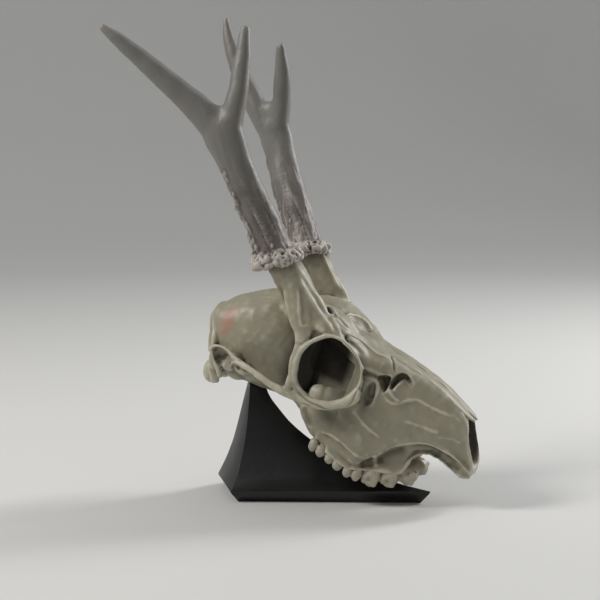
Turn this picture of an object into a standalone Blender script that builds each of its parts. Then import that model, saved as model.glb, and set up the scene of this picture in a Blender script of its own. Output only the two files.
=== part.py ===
"""A roe deer skull with its antlers, nose down on a kite-shaped pedestal.

Run it with blender --background --python part.py, or from Blender's text editor.
The skull is drawn in its own frame, in millimetres: u runs forward from the occipital
condyles to the tip of the snout, v to the animal's left, and w up. Every finished piece is
then tipped nose down over the pedestal. The row frame is in metres, +Z up, with its origin
at the centre of the pedestal's underside and +X towards the snout.
"""

import math
import random

import bmesh
import bpy
import numpy as np
from mathutils import Matrix, Vector

MM = 0.001

# How the skull sits on its pedestal
CONDYLE_AT = (-77.0, 0.0, 79.0)
NOSE_DOWN_DEG = 19.0
JOINT_GAP = 0.3

# How finely the bone is fused, and how many triangles each node keeps
VOXEL = 1.1
TRIANGLES = {"cranium": 9800, "beam": 1380, "tine": 250}
SIDES = {"right": -1, "left": 1}


def along(knots, at):
    """A smooth curve through (position, value) knots, held level past its ends."""
    places = [k[0] for k in knots]
    values = [k[1] for k in knots]
    slopes = []
    for i in range(len(knots)):
        a, b = max(i - 1, 0), min(i + 1, len(knots) - 1)
        slopes.append((values[b] - values[a]) / (places[b] - places[a]))
    if at <= places[0]:
        return values[0]
    if at >= places[-1]:
        return values[-1]
    i = max(j for j in range(len(places) - 1) if places[j] <= at)
    span = places[i + 1] - places[i]
    t = (at - places[i]) / span
    return (
        (1 + 2 * t) * (1 - t) ** 2 * values[i]
        + t * (1 - t) ** 2 * span * slopes[i]
        + t * t * (3 - 2 * t) * values[i + 1]
        + t * t * (t - 1) * span * slopes[i + 1]
    )


def smooth_path(stations, count, closed=False):
    """count stations along a Catmull-Rom curve through the given ones, whatever each holds."""
    given = np.array(stations, float)
    n = len(given)
    spans = n if closed else n - 1
    made = []
    for k in range(count):
        s = k * spans / (count if closed else count - 1)
        i = min(int(s), spans - 1)
        t = s - i
        if closed:
            a, b, c, d = (given[(i + j) % n] for j in (-1, 0, 1, 2))
        else:
            a, b, c, d = (given[min(max(i + j, 0), n - 1)] for j in (-1, 0, 1, 2))
        made.append(
            0.5 * (2 * b + (c - a) * t + (2 * a - 5 * b + 4 * c - d) * t * t + (3 * b - a - 3 * c + d) * t**3)
        )
    return made


def solid(name, verts, faces):
    """A mesh object from points in skull millimetres, with its faces pointing out."""
    work = bmesh.new()
    made = [work.verts.new(Vector(v) * MM) for v in verts]
    for face in faces:
        work.faces.new([made[i] for i in face])
    bmesh.ops.recalc_face_normals(work, faces=work.faces)
    return placed(name, work)


def placed(name, work):
    """The bmesh as an object of the scene."""
    mesh = bpy.data.meshes.new(name)
    work.to_mesh(mesh)
    work.free()
    made = bpy.data.objects.new(name, mesh)
    bpy.context.scene.collection.objects.link(made)
    return made


def loft(name, rings, closed=False):
    """A skin over rings of equally many points, capped at both ends unless it closes on itself."""
    n = len(rings[0])
    faces = []
    for i in range(len(rings) if closed else len(rings) - 1):
        a, b = i * n, (i + 1) % len(rings) * n
        faces += [(a + j, a + (j + 1) % n, b + (j + 1) % n, b + j) for j in range(n)]
    if not closed:
        faces += [tuple(range(n)), tuple(range((len(rings) - 1) * n, len(rings) * n))]
    return solid(name, [p for ring in rings for p in ring], faces)


def oval(u, half_width, top, side, bottom, power=2.3, sides=32):
    """A cross-section at u, widest at height side, and squarer as power grows past 2."""
    ring = []
    for k in range(sides):
        c, s = math.cos(2 * math.pi * k / sides), math.sin(2 * math.pi * k / sides)
        reach = top - side if s > 0 else side - bottom
        ring.append((
            u,
            math.copysign(half_width * abs(c) ** (2 / power), c),
            side + math.copysign(reach * abs(s) ** (2 / power), s),
        ))
    return ring


def tube_rings(stations, across=(0, 1, 0), sides=14, steps=20, closed=False, domed=False):
    """The path, rings and tangents through (u, v, w, half-width, half-thickness along across) stations.

    A domed one ends in a round tip past its last station."""
    path = smooth_path(stations, steps, closed)
    rings, tangents = [], []
    for i, station in enumerate(path):
        before = path[i - 1] if i or closed else station
        after = path[(i + 1) % len(path)] if i + 1 < len(path) or closed else station
        ahead = Vector(after[:3] - before[:3]).normalized()
        broad = ahead.cross(Vector(across)).normalized()
        deep = broad.cross(ahead).normalized()
        turns = [2 * math.pi * k / sides for k in range(sides)]
        centre = Vector(station[:3])
        broad, deep = broad * station[3], deep * station[4]
        rings.append([centre + broad * math.cos(a) + deep * math.sin(a) for a in turns])
        tangents.append(ahead)
    if domed:
        last, round_by = rings[-1], path[-1][3]
        for lift in (30, 55, 76):
            up, shrink = math.sin(math.radians(lift)), math.cos(math.radians(lift))
            rings.append([centre + (p - centre) * shrink + ahead * round_by * up for p in last])
    return path, rings, tangents


def tube(name, stations, across=(0, 1, 0), sides=14, steps=20, closed=False):
    return loft(name, tube_rings(stations, across, sides, steps, closed)[1], closed)


def lump(name, centre, radii, turn=(0, 0, 0), detail=3):
    """An ellipsoid, its radii turned by turn degrees about u, v and w."""
    work = bmesh.new()
    bmesh.ops.create_icosphere(work, subdivisions=detail, radius=1)
    spin = Matrix.Identity(3)
    for axis, angle in zip("XYZ", turn):
        spin = Matrix.Rotation(math.radians(angle), 3, axis) @ spin
    for vert in work.verts:
        vert.co = (Vector(centre) + spin @ Vector([c * r for c, r in zip(vert.co, radii)])) * MM
    return placed(name, work)


def mirrored(obj):
    """The same piece on the animal's other side."""
    work = bmesh.new()
    work.from_mesh(obj.data)
    work.transform(Matrix.Scale(-1, 4, (0, 1, 0)))
    bmesh.ops.reverse_faces(work, faces=work.faces)
    return placed(obj.name, work)


def apply_modifiers(obj):
    """Keeps the shape that the modifiers make, and drops them."""
    graph = bpy.context.evaluated_depsgraph_get()
    mesh = bpy.data.meshes.new_from_object(obj.evaluated_get(graph))
    obj.modifiers.clear()
    obj.data = mesh
    return obj


def union(name, pieces):
    """Overlapping closed solids as one."""
    group = bpy.data.collections.new("fused")
    made = pieces[0]
    made.name = name
    for piece in pieces[1:]:
        group.objects.link(piece)
    joined = made.modifiers.new("Union", "BOOLEAN")
    joined.operation = "UNION"
    joined.operand_type = "COLLECTION"
    joined.collection = group
    joined.solver = "EXACT"
    apply_modifiers(made)
    for piece in list(group.objects):
        bpy.data.objects.remove(piece)
    bpy.data.collections.remove(group)
    return largest(made)


def fuse(name, pieces, smoothing, triangles):
    """Overlapping solids as one skin with rounded joins, thinned out to about as many triangles."""
    made = union(name, pieces)
    remesh = made.modifiers.new("Round the joins", "REMESH")
    remesh.mode = "VOXEL"
    remesh.voxel_size = VOXEL * MM
    soften = made.modifiers.new("Soften", "SMOOTH")
    soften.factor = 0.5
    soften.iterations = smoothing
    apply_modifiers(made)
    return thin_out(made, triangles)


def thin_out(obj, triangles):
    now = sum(len(p.vertices) - 2 for p in obj.data.polygons)
    thin = obj.modifiers.new("Thin out", "DECIMATE")
    thin.ratio = min(1.0, triangles / now)
    return apply_modifiers(obj)


def largest(obj):
    """Drops every closed surface but the largest."""
    work = bmesh.new()
    work.from_mesh(obj.data)
    left, islands = set(work.verts), []
    while left:
        island, front = set(), [left.pop()]
        while front:
            vert = front.pop()
            island.add(vert)
            for edge in vert.link_edges:
                other = edge.other_vert(vert)
                if other in left:
                    left.discard(other)
                    front.append(other)
        islands.append(island)
    islands.sort(key=len)
    for island in islands[:-1]:
        bmesh.ops.delete(work, geom=list(island), context="VERTS")
    bmesh.ops.triangulate(work, faces=work.faces)
    work.to_mesh(obj.data)
    work.free()
    return obj


def carve(obj, cutter, operation="DIFFERENCE", keep_cutter=False):
    """Cuts a solid out of another, or keeps only what the two share."""
    cut = obj.modifiers.new("Cut", "BOOLEAN")
    cut.operation = operation
    cut.object = cutter
    cut.solver = "EXACT"
    apply_modifiers(obj)
    if not keep_cutter:
        bpy.data.objects.remove(cutter)
    return obj


def trim(obj, point, beyond):
    """Cuts off what lies past the plane through point, on the side that beyond points to."""
    work = bmesh.new()
    work.from_mesh(obj.data)
    everything = work.verts[:] + work.edges[:] + work.faces[:]
    cut = bmesh.ops.bisect_plane(work, geom=everything, plane_co=Vector(point) * MM, plane_no=Vector(beyond),
                                 clear_outer=True, dist=1e-7)
    edges = [e for e in cut["geom_cut"] if isinstance(e, bmesh.types.BMEdge)]
    bmesh.ops.triangle_fill(work, edges=edges, use_beauty=True)
    bmesh.ops.recalc_face_normals(work, faces=work.faces)
    work.to_mesh(obj.data)
    work.free()
    return obj


def slab(outline, inner, outer, grow=0.0):
    """A block with an outline of (u, w) corners, from v = inner to outer, its faces grow further out."""
    n = len(outline)
    points = [Vector(corner) for corner in outline]
    turn = math.copysign(1, sum(points[i].cross(points[(i + 1) % n]) for i in range(n)))
    corners = []
    for i in range(n):
        a, b, c = (points[(i + j) % n] for j in (-1, 0, 1))
        out = [Vector(((q - p).y, -(q - p).x)).normalized() * turn for p, q in ((a, b), (b, c))]
        corners.append(b + (out[0] + out[1]) * grow / (1 + out[0].dot(out[1])))
    low, high = min(inner, outer) - grow, max(inner, outer) + grow
    return loft("slab", [[(p.x, v, p.y) for p in corners] for v in (low, high)])


# The cranium's driving outlines, as (u, value) knots in skull millimetres

VAULT_TOP = [(-10, 44), (-8, 48), (-4, 52.5), (2, 58), (10, 63.5), (20, 69), (30, 72), (50, 73), (70, 66)]
VAULT_SIDE = [(-10, 40), (-4, 38), (14, 38), (38, 38), (70, 36)]
VAULT_BASE = [(-10, 36), (-8, 26), (-4, 14), (4, 8), (14, 6), (38, 7), (55, 10), (70, 13)]
VAULT_WIDTH = [(-10, 15), (-8, 19), (-4, 24), (4, 27.5), (14, 30), (26, 31), (38, 30), (50, 26),
               (62, 19), (70, 15)]

BROW_TOP = [(22, 70), (36, 74), (48, 77), (60, 79), (72, 78.5), (84, 73.5), (94, 68), (103, 64),
            (112, 61)]
BROW_SIDE = [(22, 62), (36, 64), (48, 66), (60, 66), (72, 65), (84, 62), (94, 56), (103, 50.5), (112, 47)]
BROW_BASE = [(22, 54), (48, 54), (72, 54), (94, 47), (112, 38)]
BROW_WIDTH = [(22, 14), (36, 21), (48, 29), (60, 35.5), (72, 36.5), (84, 34.5), (94, 31.5), (103, 28),
              (112, 25)]

WALL_WIDTH = [(48, 14), (60, 11), (75, 10), (90, 12), (104, 18)]
WALL_BASE = [(48, 8), (75, 11), (90, 8), (104, 4)]

NASAL_TOP = [(98, 66), (106, 63.6), (112, 62.6), (122, 60.8), (132, 58.8), (142, 56.2), (152, 53.2),
             (160, 50), (168, 46.3), (176, 42.2), (183, 39)]
NASAL_WIDTH = [(98, 15), (114, 14), (132, 12.5), (152, 11.5), (168, 10.5), (183, 8.5)]
CHEEK_TOP_WIDTH = [(98, 26), (106, 24), (114, 22), (122, 20), (132, 17.8), (142, 16), (152, 15),
                   (168, 13.8), (190, 11)]
CHEEK_TOP_HEIGHT = [(98, 55), (114, 53), (132, 50), (152, 44), (168, 38), (176, 34), (184, 24), (190, 12)]
CHEEK_WIDTH = [(98, 31), (106, 31.5), (114, 31), (122, 29), (132, 26.5), (142, 23.5), (152, 20.5),
               (168, 16.3), (190, 10)]
CHEEK_HEIGHT = [(98, 30), (106, 25), (122, 21), (142, 21), (160, 24), (176, 20), (184, 14), (190, 8)]
RIDGE_WIDTH = [(98, 30), (118, 30), (124, 28.5), (133, 27), (141, 24.8), (149, 22), (158, 19.5),
               (167, 17.5), (178, 16), (190, 11)]
RIDGE_HEIGHT = [(98, 2), (112, -6), (120, -8.5), (127, -4.5), (133, 0.5), (141, 7.5), (149, 12.6),
                (158, 16), (167, 16.8), (178, 15), (190, 8)]
GUM_WIDTH = [(98, 29), (118, 28.5), (132, 26), (144, 23.5), (152, 19.5), (160, 15.5), (172, 14),
             (184, 13), (190, 9)]
GUM_HEIGHT = [(84, -8), (94, -11), (105, -14.5), (115, -17), (122, -15.5), (131, -12.5), (142, -9.7),
              (148, -7.5), (151.5, -2), (155, 5), (162, 9), (170, 8.2), (178, 5), (183, 3), (190, 3)]
PALATE_HEIGHT = [(98, 0), (106, -4), (118, -6), (132, -3), (145, 1), (154, 6), (160, 9), (168, 10),
                 (178, 7), (190, 5)]

ORBIT_CENTRE = (87.0, 43.0)
ORBIT_RADIUS = 20.8
ORBIT_MOUTH = 41.0
ORBIT_DEPTH = 29.0
RIM_RADIUS = 22.7


def braincase():
    stations = [-10, -9, -7, -4, 0, 7, 14, 22, 30, 38, 46, 54, 62, 70]
    return loft("braincase", [
        oval(u, along(VAULT_WIDTH, u), along(VAULT_TOP, u), along(VAULT_SIDE, u), along(VAULT_BASE, u), 2.35)
        for u in stations
    ])


def brow():
    """The roof over the orbits, which carries the pedicles."""
    stations = [22, 29, 36, 42, 48, 54, 60, 66, 72, 78, 84, 90, 96, 102, 108, 112]
    return loft("brow", [
        oval(u, along(BROW_WIDTH, u), along(BROW_TOP, u), along(BROW_SIDE, u), along(BROW_BASE, u), 1.85)
        for u in stations
    ])


def orbit_wall():
    """The narrow wall between the two orbits."""
    return loft("orbit_wall", [
        oval(u, along(WALL_WIDTH, u), 62, 36, along(WALL_BASE, u), 2.6) for u in range(48, 105, 8)
    ])


def muzzle_ring(u):
    """The snout's cross-section: nasal roof, cheeks, gums and the arched palate."""
    roof = along(NASAL_TOP, u)
    if u > 176:
        roof = along([(176, 42.2), (178, 40), (184, 27), (190, 13)], u)
    half = [
        (0, roof),
        (along(NASAL_WIDTH, u) * 0.8, roof - 1.2),
        (along(CHEEK_TOP_WIDTH, u), along(CHEEK_TOP_HEIGHT, u)),
        (along(CHEEK_WIDTH, u), along(CHEEK_HEIGHT, u)),
        (along(RIDGE_WIDTH, u), along(RIDGE_HEIGHT, u)),
        (along(GUM_WIDTH, u) - 0.8, (along(RIDGE_HEIGHT, u) + along(GUM_HEIGHT, u)) / 2),
        (along(GUM_WIDTH, u) - 1, along(GUM_HEIGHT, u)),
        (along(GUM_WIDTH, u) * 0.55, along(GUM_HEIGHT, u) + 1.5),
        (0, along(PALATE_HEIGHT, u)),
    ]
    whole = half + [(-v, w) for v, w in half[-2:0:-1]]
    return [(u, v, w) for v, w in smooth_path(whole, 56, closed=True)]


def muzzle():
    stations = [98, 104, 110, 116, 122, 128, 134, 140, 145, 149, 152, 155, 159, 164, 170, 176, 180, 184,
                187, 190]
    return loft("muzzle", [muzzle_ring(u) for u in stations])


def orbit_rim():
    u, w = ORBIT_CENTRE
    ring = []
    for k in range(12):
        turn = 2 * math.pi * k / 12
        c, s = math.cos(turn), math.sin(turn)
        slim = max(0, math.cos(turn - math.radians(55)))
        reach = RIM_RADIUS - 1.4 * slim
        ring.append((u + reach * c, 36 - 5.6 * c - 2.2 * s, w + reach * s, 2.6 - 0.9 * slim, 2.4))
    return tube("orbit_rim", ring, steps=36, closed=True)


# Bars and knobs on both sides of the cranium: (u, v, w, half-width, half-thickness) stations

POSTORBITAL_BAR = [(65, 41, 21, 3.2, 2.7), (65.5, 41.3, 30, 3.3, 2.7), (63.5, 40.6, 39, 3.4, 2.7),
                   (63, 39.2, 47, 3.4, 2.7), (62.5, 37.4, 54, 4.4, 2.8), (59, 33, 63, 6.5, 3)]
CHEEK_ARCH = [(21, 28, 21.5, 4.5, 3.6), (26, 34, 23, 3.2, 2.6), (33, 38, 23.4, 2.5, 2.3),
              (42, 40, 22.4, 2.5, 2.2),
              (51, 41.2, 20.5, 2.5, 2.2), (60, 42, 19.2, 2.8, 2.4), (70, 42, 19.6, 3.2, 2.6),
              (80, 41.3, 19.4, 3.1, 2.8),
              (89, 40, 20, 3.1, 3), (97, 38, 22.8, 3.2, 3.2), (104, 35.2, 28.4, 3.8, 3.4),
              (109, 31.5, 36, 4.5, 3.5)]
PEDICLE = [(26, 27, 98, 10.8, 10), (33, 27, 92.6, 10.8, 9.8), (41.4, 27, 85.3, 11, 9.6),
           (50.6, 26.5, 77, 11.6, 9.4), (61.5, 26, 67.5, 12, 9), (72, 26, 58, 12, 8.5)]
CHEEK_ROOT = [(108, 21, 5, 20, 10), (98, 20.5, 8, 19.5, 9.5), (90, 19.5, 9.5, 19, 8.6),
              (83, 18.2, 9, 16.5, 7.6),
              (77, 17, 9.5, 10.5, 6), (71, 15.5, 11, 6, 4.4), (62, 12.5, 12, 4, 3)]
NUCHAL_CREST = [(3, -29, 22, 2, 2), (-1, -28, 32, 2, 2), (-6, -21, 42, 2, 2), (-9, -9, 46.5, 2, 2),
                (-9.5, 0, 47, 2, 2),
                (-9, 9, 46.5, 2, 2), (-6, 21, 42, 2, 2), (-1, 28, 32, 2, 2), (3, 29, 22, 2, 2)]
BASIOCCIPITAL = [(0, 0, 8, 6, 11), (20, 0, 9, 6, 11), (45, 0, 10, 6, 9), (75, 0, 15, 6, 8)]
PARACONDYLAR = [(6, 22, 17, 6, 5), (8, 23.5, 8, 4.6, 3.4), (11, 24, 0, 3, 2.2)]
EAR_TUBE = [(17, 22, 16, 5, 5), (18, 30, 18.5, 5, 5)]
PTERYGOID = [(48, 9, 13, 4, 1.8), (60, 10, 12, 5, 1.8), (70, 11, 9, 6.5, 1.8), (81, 12, 4, 8, 1.8)]
NASAL_BONE = [(102, 5.6, 63.6, 1.5, 5.8), (116, 5.8, 61, 1.5, 5.8), (132, 5.6, 57.6, 1.5, 5.7),
              (152, 5.2, 52, 1.5, 5.4),
              (168, 4.8, 45.2, 1.4, 4.8), (176, 4.2, 41.4, 1.2, 3.8), (183, 3, 38.4, 1, 1.2)]


def skull_details():
    """What is fused to the three main blocks: on the midline, and on each side."""
    middle = [
        tube("basioccipital", BASIOCCIPITAL),
        tube("nuchal_crest", NUCHAL_CREST, across=(1, 0, 0), steps=36),
    ]
    sided = [
        orbit_rim(),
        tube("postorbital_bar", POSTORBITAL_BAR),
        tube("cheek_arch", CHEEK_ARCH, steps=34),
        tube("pedicle", PEDICLE, sides=20),
        tube("cheek_root", CHEEK_ROOT, sides=18),
        tube("paracondylar", PARACONDYLAR),
        tube("ear_tube", EAR_TUBE, across=(1, 0, 0), steps=4),
        tube("pterygoid", PTERYGOID),
        tube("nasal_bone", NASAL_BONE),
        lump("condyle", (1.5, 9.5, 3.5), (6.8, 6, 8.6), turn=(20, -15, 0)),
        lump("bulla", (20, 15, 11), (8, 5.5, 5.5)),
        lump("mastoid", (8, 25, 18), (6.5, 5.5, 10)),
        lump("jaw_joint", (29, 28, 18.5), (7, 8, 3.6)),
    ]
    return middle, sided


# Cheek teeth: the place of each one's middle along u, and half the length of each of its lobes

TEETH = {
    "P2": (153.0, [5.6]), "P3": (142.8, [5.4]), "P4": (131.6, [5.6]),
    "M1": (119.4, [3.1, 3.0]), "M2": (105.6, [3.4, 3.1]), "M3": (92.2, [3.2, 2.9]),
}
TOOTH_TIP = [(84, -15), (91, -17.8), (98, -18.8), (105, -20.2), (115, -22.7), (122, -23), (131, -22.9),
             (142, -19.3), (151, -15.2), (158, -11.5)]


def cheek_teeth():
    """Those of one side. Molars have two lobes, each with an outer and an inner cusp."""
    made = []
    for name, (middle, lobes) in TEETH.items():
        start = middle + sum(lobes)
        for half in lobes:
            u = start - half
            start -= 2 * half
            gum, tip = min(along(GUM_HEIGHT, u), -5.5), along(TOOTH_TIP, u)
            centre, tall = (gum + tip) / 2 + 1.2, (gum - tip) / 2 + 2.0
            outer = along(GUM_WIDTH, u) - 4.6
            made.append(lump(name, (u, outer, centre), (half + 0.5, 4.4, tall), detail=2))
            made.append(lump(name, (u, outer - 5.0, centre + 0.8), (half + 0.2, 4.2, tall), detail=2))
    return made


def cranium():
    u, w = ORBIT_CENTRE
    radii = (ORBIT_RADIUS - 0.6, ORBIT_DEPTH, ORBIT_RADIUS - 0.6)
    orbits = [lump("orbit_bowl", (u, side * ORBIT_MOUTH, w), radii, detail=4) for side in SIDES.values()]
    blocks = [braincase(), brow(), muzzle()]
    for block in blocks:
        for bowl in orbits:
            carve(block, bowl, keep_cutter=True)
    for bowl in orbits:
        bpy.data.objects.remove(bowl)
    carve(blocks[2], lump("nose_hole", (186, 0, 25.5), (34, 11, 14.5), turn=(0, 12, 0)))
    middle, sided = skull_details()
    sided += cheek_teeth()
    sided += [mirrored(piece) for piece in sided]
    made = fuse("cranium", blocks + [orbit_wall()] + middle + sided, 4, TRIANGLES["cranium"])
    rest = slab([(22, -40), (22, STAND_TOP_W), (40, STAND_TOP_W), (40, -40)], -11, 11)
    return largest(carve(made, rest))


# Where the cranium parts into its bones: (u, w) outlines, and how far each reaches from the middle plane

PEDICLE_PART = ([(36, 75.5), (53, 98.5), (13, 128), (-4, 105)], 10, 52)
ARCH_PART = ([(32, 10), (57, 10), (57, 34), (32, 34)], 33, 52)
NASAL_PART = ([(114, 58.4), (132, 54.6), (152, 49.2), (168, 42.4), (178, 37), (192, 31), (192, 60),
               (114, 84)], -14, 14)
PREMAXILLA_PART = ([(163, -10), (200, -10), (200, 60), (163, 60)], JOINT_GAP / 2, 30)
MAXILLA_PART = ([(56, -40), (175, -40), (175, 75), (113, 75), (113, 16.6), (56, 12.6)], JOINT_GAP / 2, 50)
BRAINCASE_PART = ([(-40, -40), (49, -40), (49, 110), (-40, 110)], -50, 50)
ORBIT_PART = ([(30, -40), (140, -40), (140, 110), (30, 110)], JOINT_GAP / 2, 60)


def take(rest, name, part, side=1):
    """Moves the part of rest inside an outline to an object of its own, with a thin gap between the two."""
    outline, inner, outer = part
    mine = bpy.data.objects.new(name, rest.data.copy())
    bpy.context.scene.collection.objects.link(mine)
    carve(mine, slab(outline, side * inner, side * outer), "INTERSECT")
    carve(rest, slab(outline, side * inner, side * outer, JOINT_GAP))
    return largest(mine)


def bones():
    """The cranium's nodes."""
    rest = cranium()
    made = []
    for name, side in SIDES.items():
        made.append(take(rest, name + "_pedicle", PEDICLE_PART, side))
        made.append(take(rest, name + "_zygomatic_arch", ARCH_PART, side))
    made.append(take(rest, "nasal_bones", NASAL_PART))
    for part, label in ((PREMAXILLA_PART, "_premaxilla"), (MAXILLA_PART, "_maxilla")):
        for name, side in SIDES.items():
            made.append(take(rest, name + label, part, side))
    made.append(take(rest, "braincase", BRAINCASE_PART))
    for name, side in SIDES.items():
        made.append(take(rest, name + "_frontal_and_orbit", ORBIT_PART, side))
    bpy.data.objects.remove(rest)
    for piece in made:
        if piece.name.endswith("_pedicle"):
            side = SIDES[piece.name.split("_")[0]]
            trim(piece, burr_place(side), burr_axis(side))
    return made


# The antlers: centre line, half-width in the plane of the fork, and half-thickness across it

BEAM = {
    "right": [(27, 27, 94.5, 11.5, 11), (21, 28.5, 102.4, 11.8, 11.2), (14, 31, 112, 11.7, 10.6),
              (6, 35, 122, 11.3, 10),
              (-4, 41.5, 135, 10.9, 9.4), (-14, 46.5, 148, 11.2, 9), (-24, 49.5, 160, 13.2, 8.8),
              (-32, 49.5, 170, 13.6, 8)],
    "left": [(28, 27, 96.5, 11, 10.6), (21.5, 28.5, 104, 11, 10.6), (13, 32.5, 113.5, 11, 10.2),
             (3, 37, 124, 11.2, 9.8),
             (-8, 42, 136, 11.1, 9.3), (-18.5, 46.5, 149, 10.8, 8.8), (-27, 49, 159.5, 11.6, 8.6),
             (-34, 49.5, 169, 12, 8)],
}
FRONT_TINE = {
    "right": [(-23, 49, 160, 8, 8), (-24.6, 48, 176, 7.6, 7.4), (-26.4, 46, 189.5, 6.7, 6.4),
              (-29, 44, 200, 5.9, 5.7), (-32.7, 41, 213, 4.6, 4.5), (-38, 38, 229.4, 2.1, 2.1)],
    "left": [(-27, 49, 158, 6, 6), (-28.4, 48, 174, 7, 7.2), (-31, 46, 188, 6.3, 6.2),
             (-34, 43, 201, 5.2, 5.1), (-40.2, 38.6, 220.4, 2.2, 2.2)],
}
REAR_TINE = {
    "right": [(-30, 49, 163, 10, 8), (-44, 51, 171.2, 9.6, 7.6), (-60, 54, 178.2, 8, 7),
              (-76, 58, 185, 7, 6.4), (-91, 62, 191.5, 5.8, 5.5), (-105, 66, 197.2, 4.6, 4.4),
              (-117.6, 69.6, 202, 2.4, 2.4)],
    "left": [(-31, 49, 160, 8, 7.6), (-45, 50.5, 171.2, 7.9, 7.3), (-57, 52.5, 181, 7.3, 6.8),
             (-69, 55, 192, 6.4, 6.1),
             (-80, 57.4, 203.8, 5.2, 5), (-88, 59.4, 213.6, 3.9, 3.8), (-93.2, 60.4, 222.6, 2, 2)],
}
CUT_AT = {"front": (0.36, 0.39), "rear": (0.235, 0.30)}
WEB = {"right": ((-36, 48.5, 170.5), (9, 6.8, 8.5)), "left": ((-37.5, 49.3, 173.5), (7, 6.2, 8.5))}
BURR = {"centre": (26.5, 27, 95.5), "lean": 30, "splay": 7, "ring": 14.6, "bead": 3.7, "count": 21}


def burr_axis(side):
    """Along the antler, out of the pedicle."""
    lean, splay = math.radians(BURR["lean"]), math.radians(BURR["splay"])
    return Vector((-math.sin(lean), side * math.sin(splay), math.cos(lean))).normalized()


def burr_place(side, up=-2.2):
    """A point on the antler's axis, up millimetres above the middle of the burr."""
    u, v, w = BURR["centre"]
    return Vector((u, side * v, w)) + burr_axis(side) * up


def burr(side, chance):
    """The beaded ring round the antler's foot."""
    axis, centre = burr_axis(side), burr_place(side, 0)
    first = axis.cross(Vector((0, 1, 0))).normalized()
    second = axis.cross(first)
    beads = []
    for k in range(BURR["count"]):
        turn = 2 * math.pi * (k + chance.uniform(-0.2, 0.2)) / BURR["count"]
        size = BURR["bead"] * chance.uniform(0.82, 1.16)
        out = first * math.cos(turn) + second * math.sin(turn)
        place = centre + out * (BURR["ring"] + chance.uniform(-0.7, 0.7)) + axis * chance.uniform(0.4, 2.4)
        beads.append(lump("bead", place, (size, size * 0.95, size * chance.uniform(0.95, 1.3)), detail=2))
    ring = [(*(centre + axis * up), 14.4, 14.4) for up in (-3.4, 0, 3.4)]
    return beads + [tube("burr_core", ring, sides=24, steps=5)]


def pearls(side, stations, chance):
    """Beading along the rear edge and the outside of the lower beam."""
    made = []
    for station in smooth_path(stations[:5], 12)[1:]:
        u, v, w, half, _ = station
        back = Vector((-0.82, side * chance.uniform(-0.25, 0.5), -0.5)).normalized()
        size = chance.uniform(1.7, 2.6)
        place = Vector((u, side * v, w)) + back * (half - 0.2)
        made.append(lump("pearl", place, (size, size, size * 1.3), detail=2))
    return made


def antler(name, side):
    chance = random.Random(name)
    kinds = (BEAM, FRONT_TINE, REAR_TINE)
    flip = [[(u, side * v, w, a, b) for u, v, w, a, b in kind[name]] for kind in kinds]
    beam = [tube("beam", flip[0], sides=20, steps=26)] + burr(side, chance) + pearls(side, BEAM[name], chance)
    web, radii = WEB[name]
    beam.append(lump("web", (web[0], side * web[1], web[2]), radii, turn=(0, -20, 0)))
    tines, cuts = [], []
    for label, stations in zip(("front", "rear"), flip[1:]):
        path, rings, tangents = tube_rings(stations, sides=16, steps=40, domed=True)
        at = round(CUT_AT[label][0 if side < 0 else 1] * 39)
        beam.append(loft("stub", rings[:at + 5]))
        tines.append(thin_out(loft(f"{name}_antler_{label}_tine", rings[at - 1:]), TRIANGLES["tine"]))
        cuts.append((Vector(path[at][:3]), tangents[at]))
    fused = fuse(f"{name}_antler_beam", beam, 5, TRIANGLES["beam"])
    trim(fused, burr_place(side) + burr_axis(side) * JOINT_GAP, -burr_axis(side))
    for tine, (point, ahead) in zip(tines, cuts):
        trim(fused, point, ahead)
        trim(tine, point + ahead * JOINT_GAP, -ahead)
    return [fused] + tines


# The pedestal, in row millimetres: a kite-shaped plate, and a hollow-sided pyramid up to the skull's base

KITE = [(76.0, 0.0), (-48.0, 43.0), (-75.0, 0.0), (-48.0, -43.0)]
PLATE = 8.0
UNDERCUT = 6.5
APEX_X = -47.0
STAND_TOP_W = 4.6
FRONT_RIDGE = [(8, 123), (11.5, 102), (17, 83), (23.6, 67.5), (32.8, 46.3), (45.8, 27), (55.5, 17.6),
               (63.9, 10.6), (74, 6)]
SIDE_RIDGE = [(8, 42), (13, 35.5), (19, 30), (30.6, 22), (43, 16), (62, 11), (74, 9)]
REAR_RIDGE = [(8, 28), (19.8, 22), (32.2, 17), (43, 13.8), (53.5, 11), (62.7, 8.6), (74, 5.5)]


def pedestal():
    rings = []
    for z, inset in ((0, UNDERCUT), (PLATE - 1.2, 0.4), (PLATE, 0)):
        middle = Vector((APEX_X + 20, 0))
        ring = []
        for x, y in KITE:
            out = Vector((x, y)) - middle
            ring.append((*(middle + out * (1 - inset / out.length)), z))
        rings.append(ring)
    for z in (8, 11, 14, 18, 23, 29, 36, 44, 53, 62, 70, 78):
        front, sides, rear = along(FRONT_RIDGE, z), along(SIDE_RIDGE, z), along(REAR_RIDGE, z)
        middle, up = APEX_X - 0.5, z + 0.2
        ring = [(APEX_X + front, 0), (middle, sides), (APEX_X - rear, 0), (middle, -sides)]
        rings.append([(x, y, up) for x, y in ring])
    made = loft("stand_plinth", rings)
    made.data.transform(skull_pose().inverted())
    trim(made, (0, 0, STAND_TOP_W - JOINT_GAP), (0, 0, 1))
    return made


def skull_pose():
    """Takes skull millimetres, scaled to metres, to the row frame."""
    return Matrix.Translation(Vector(CONDYLE_AT) * MM) @ Matrix.Rotation(math.radians(NOSE_DOWN_DEG), 4, "Y")


# Surfaces: (base colour, roughness, metallic)

MATERIALS = {
    "bone": ((0.36, 0.34, 0.25), 0.55, 0.0),
    "antler": ((0.22, 0.19, 0.17), 0.5, 0.0),
    "stand": ((0.02, 0.02, 0.022), 0.15, 0.0),
}


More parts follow.
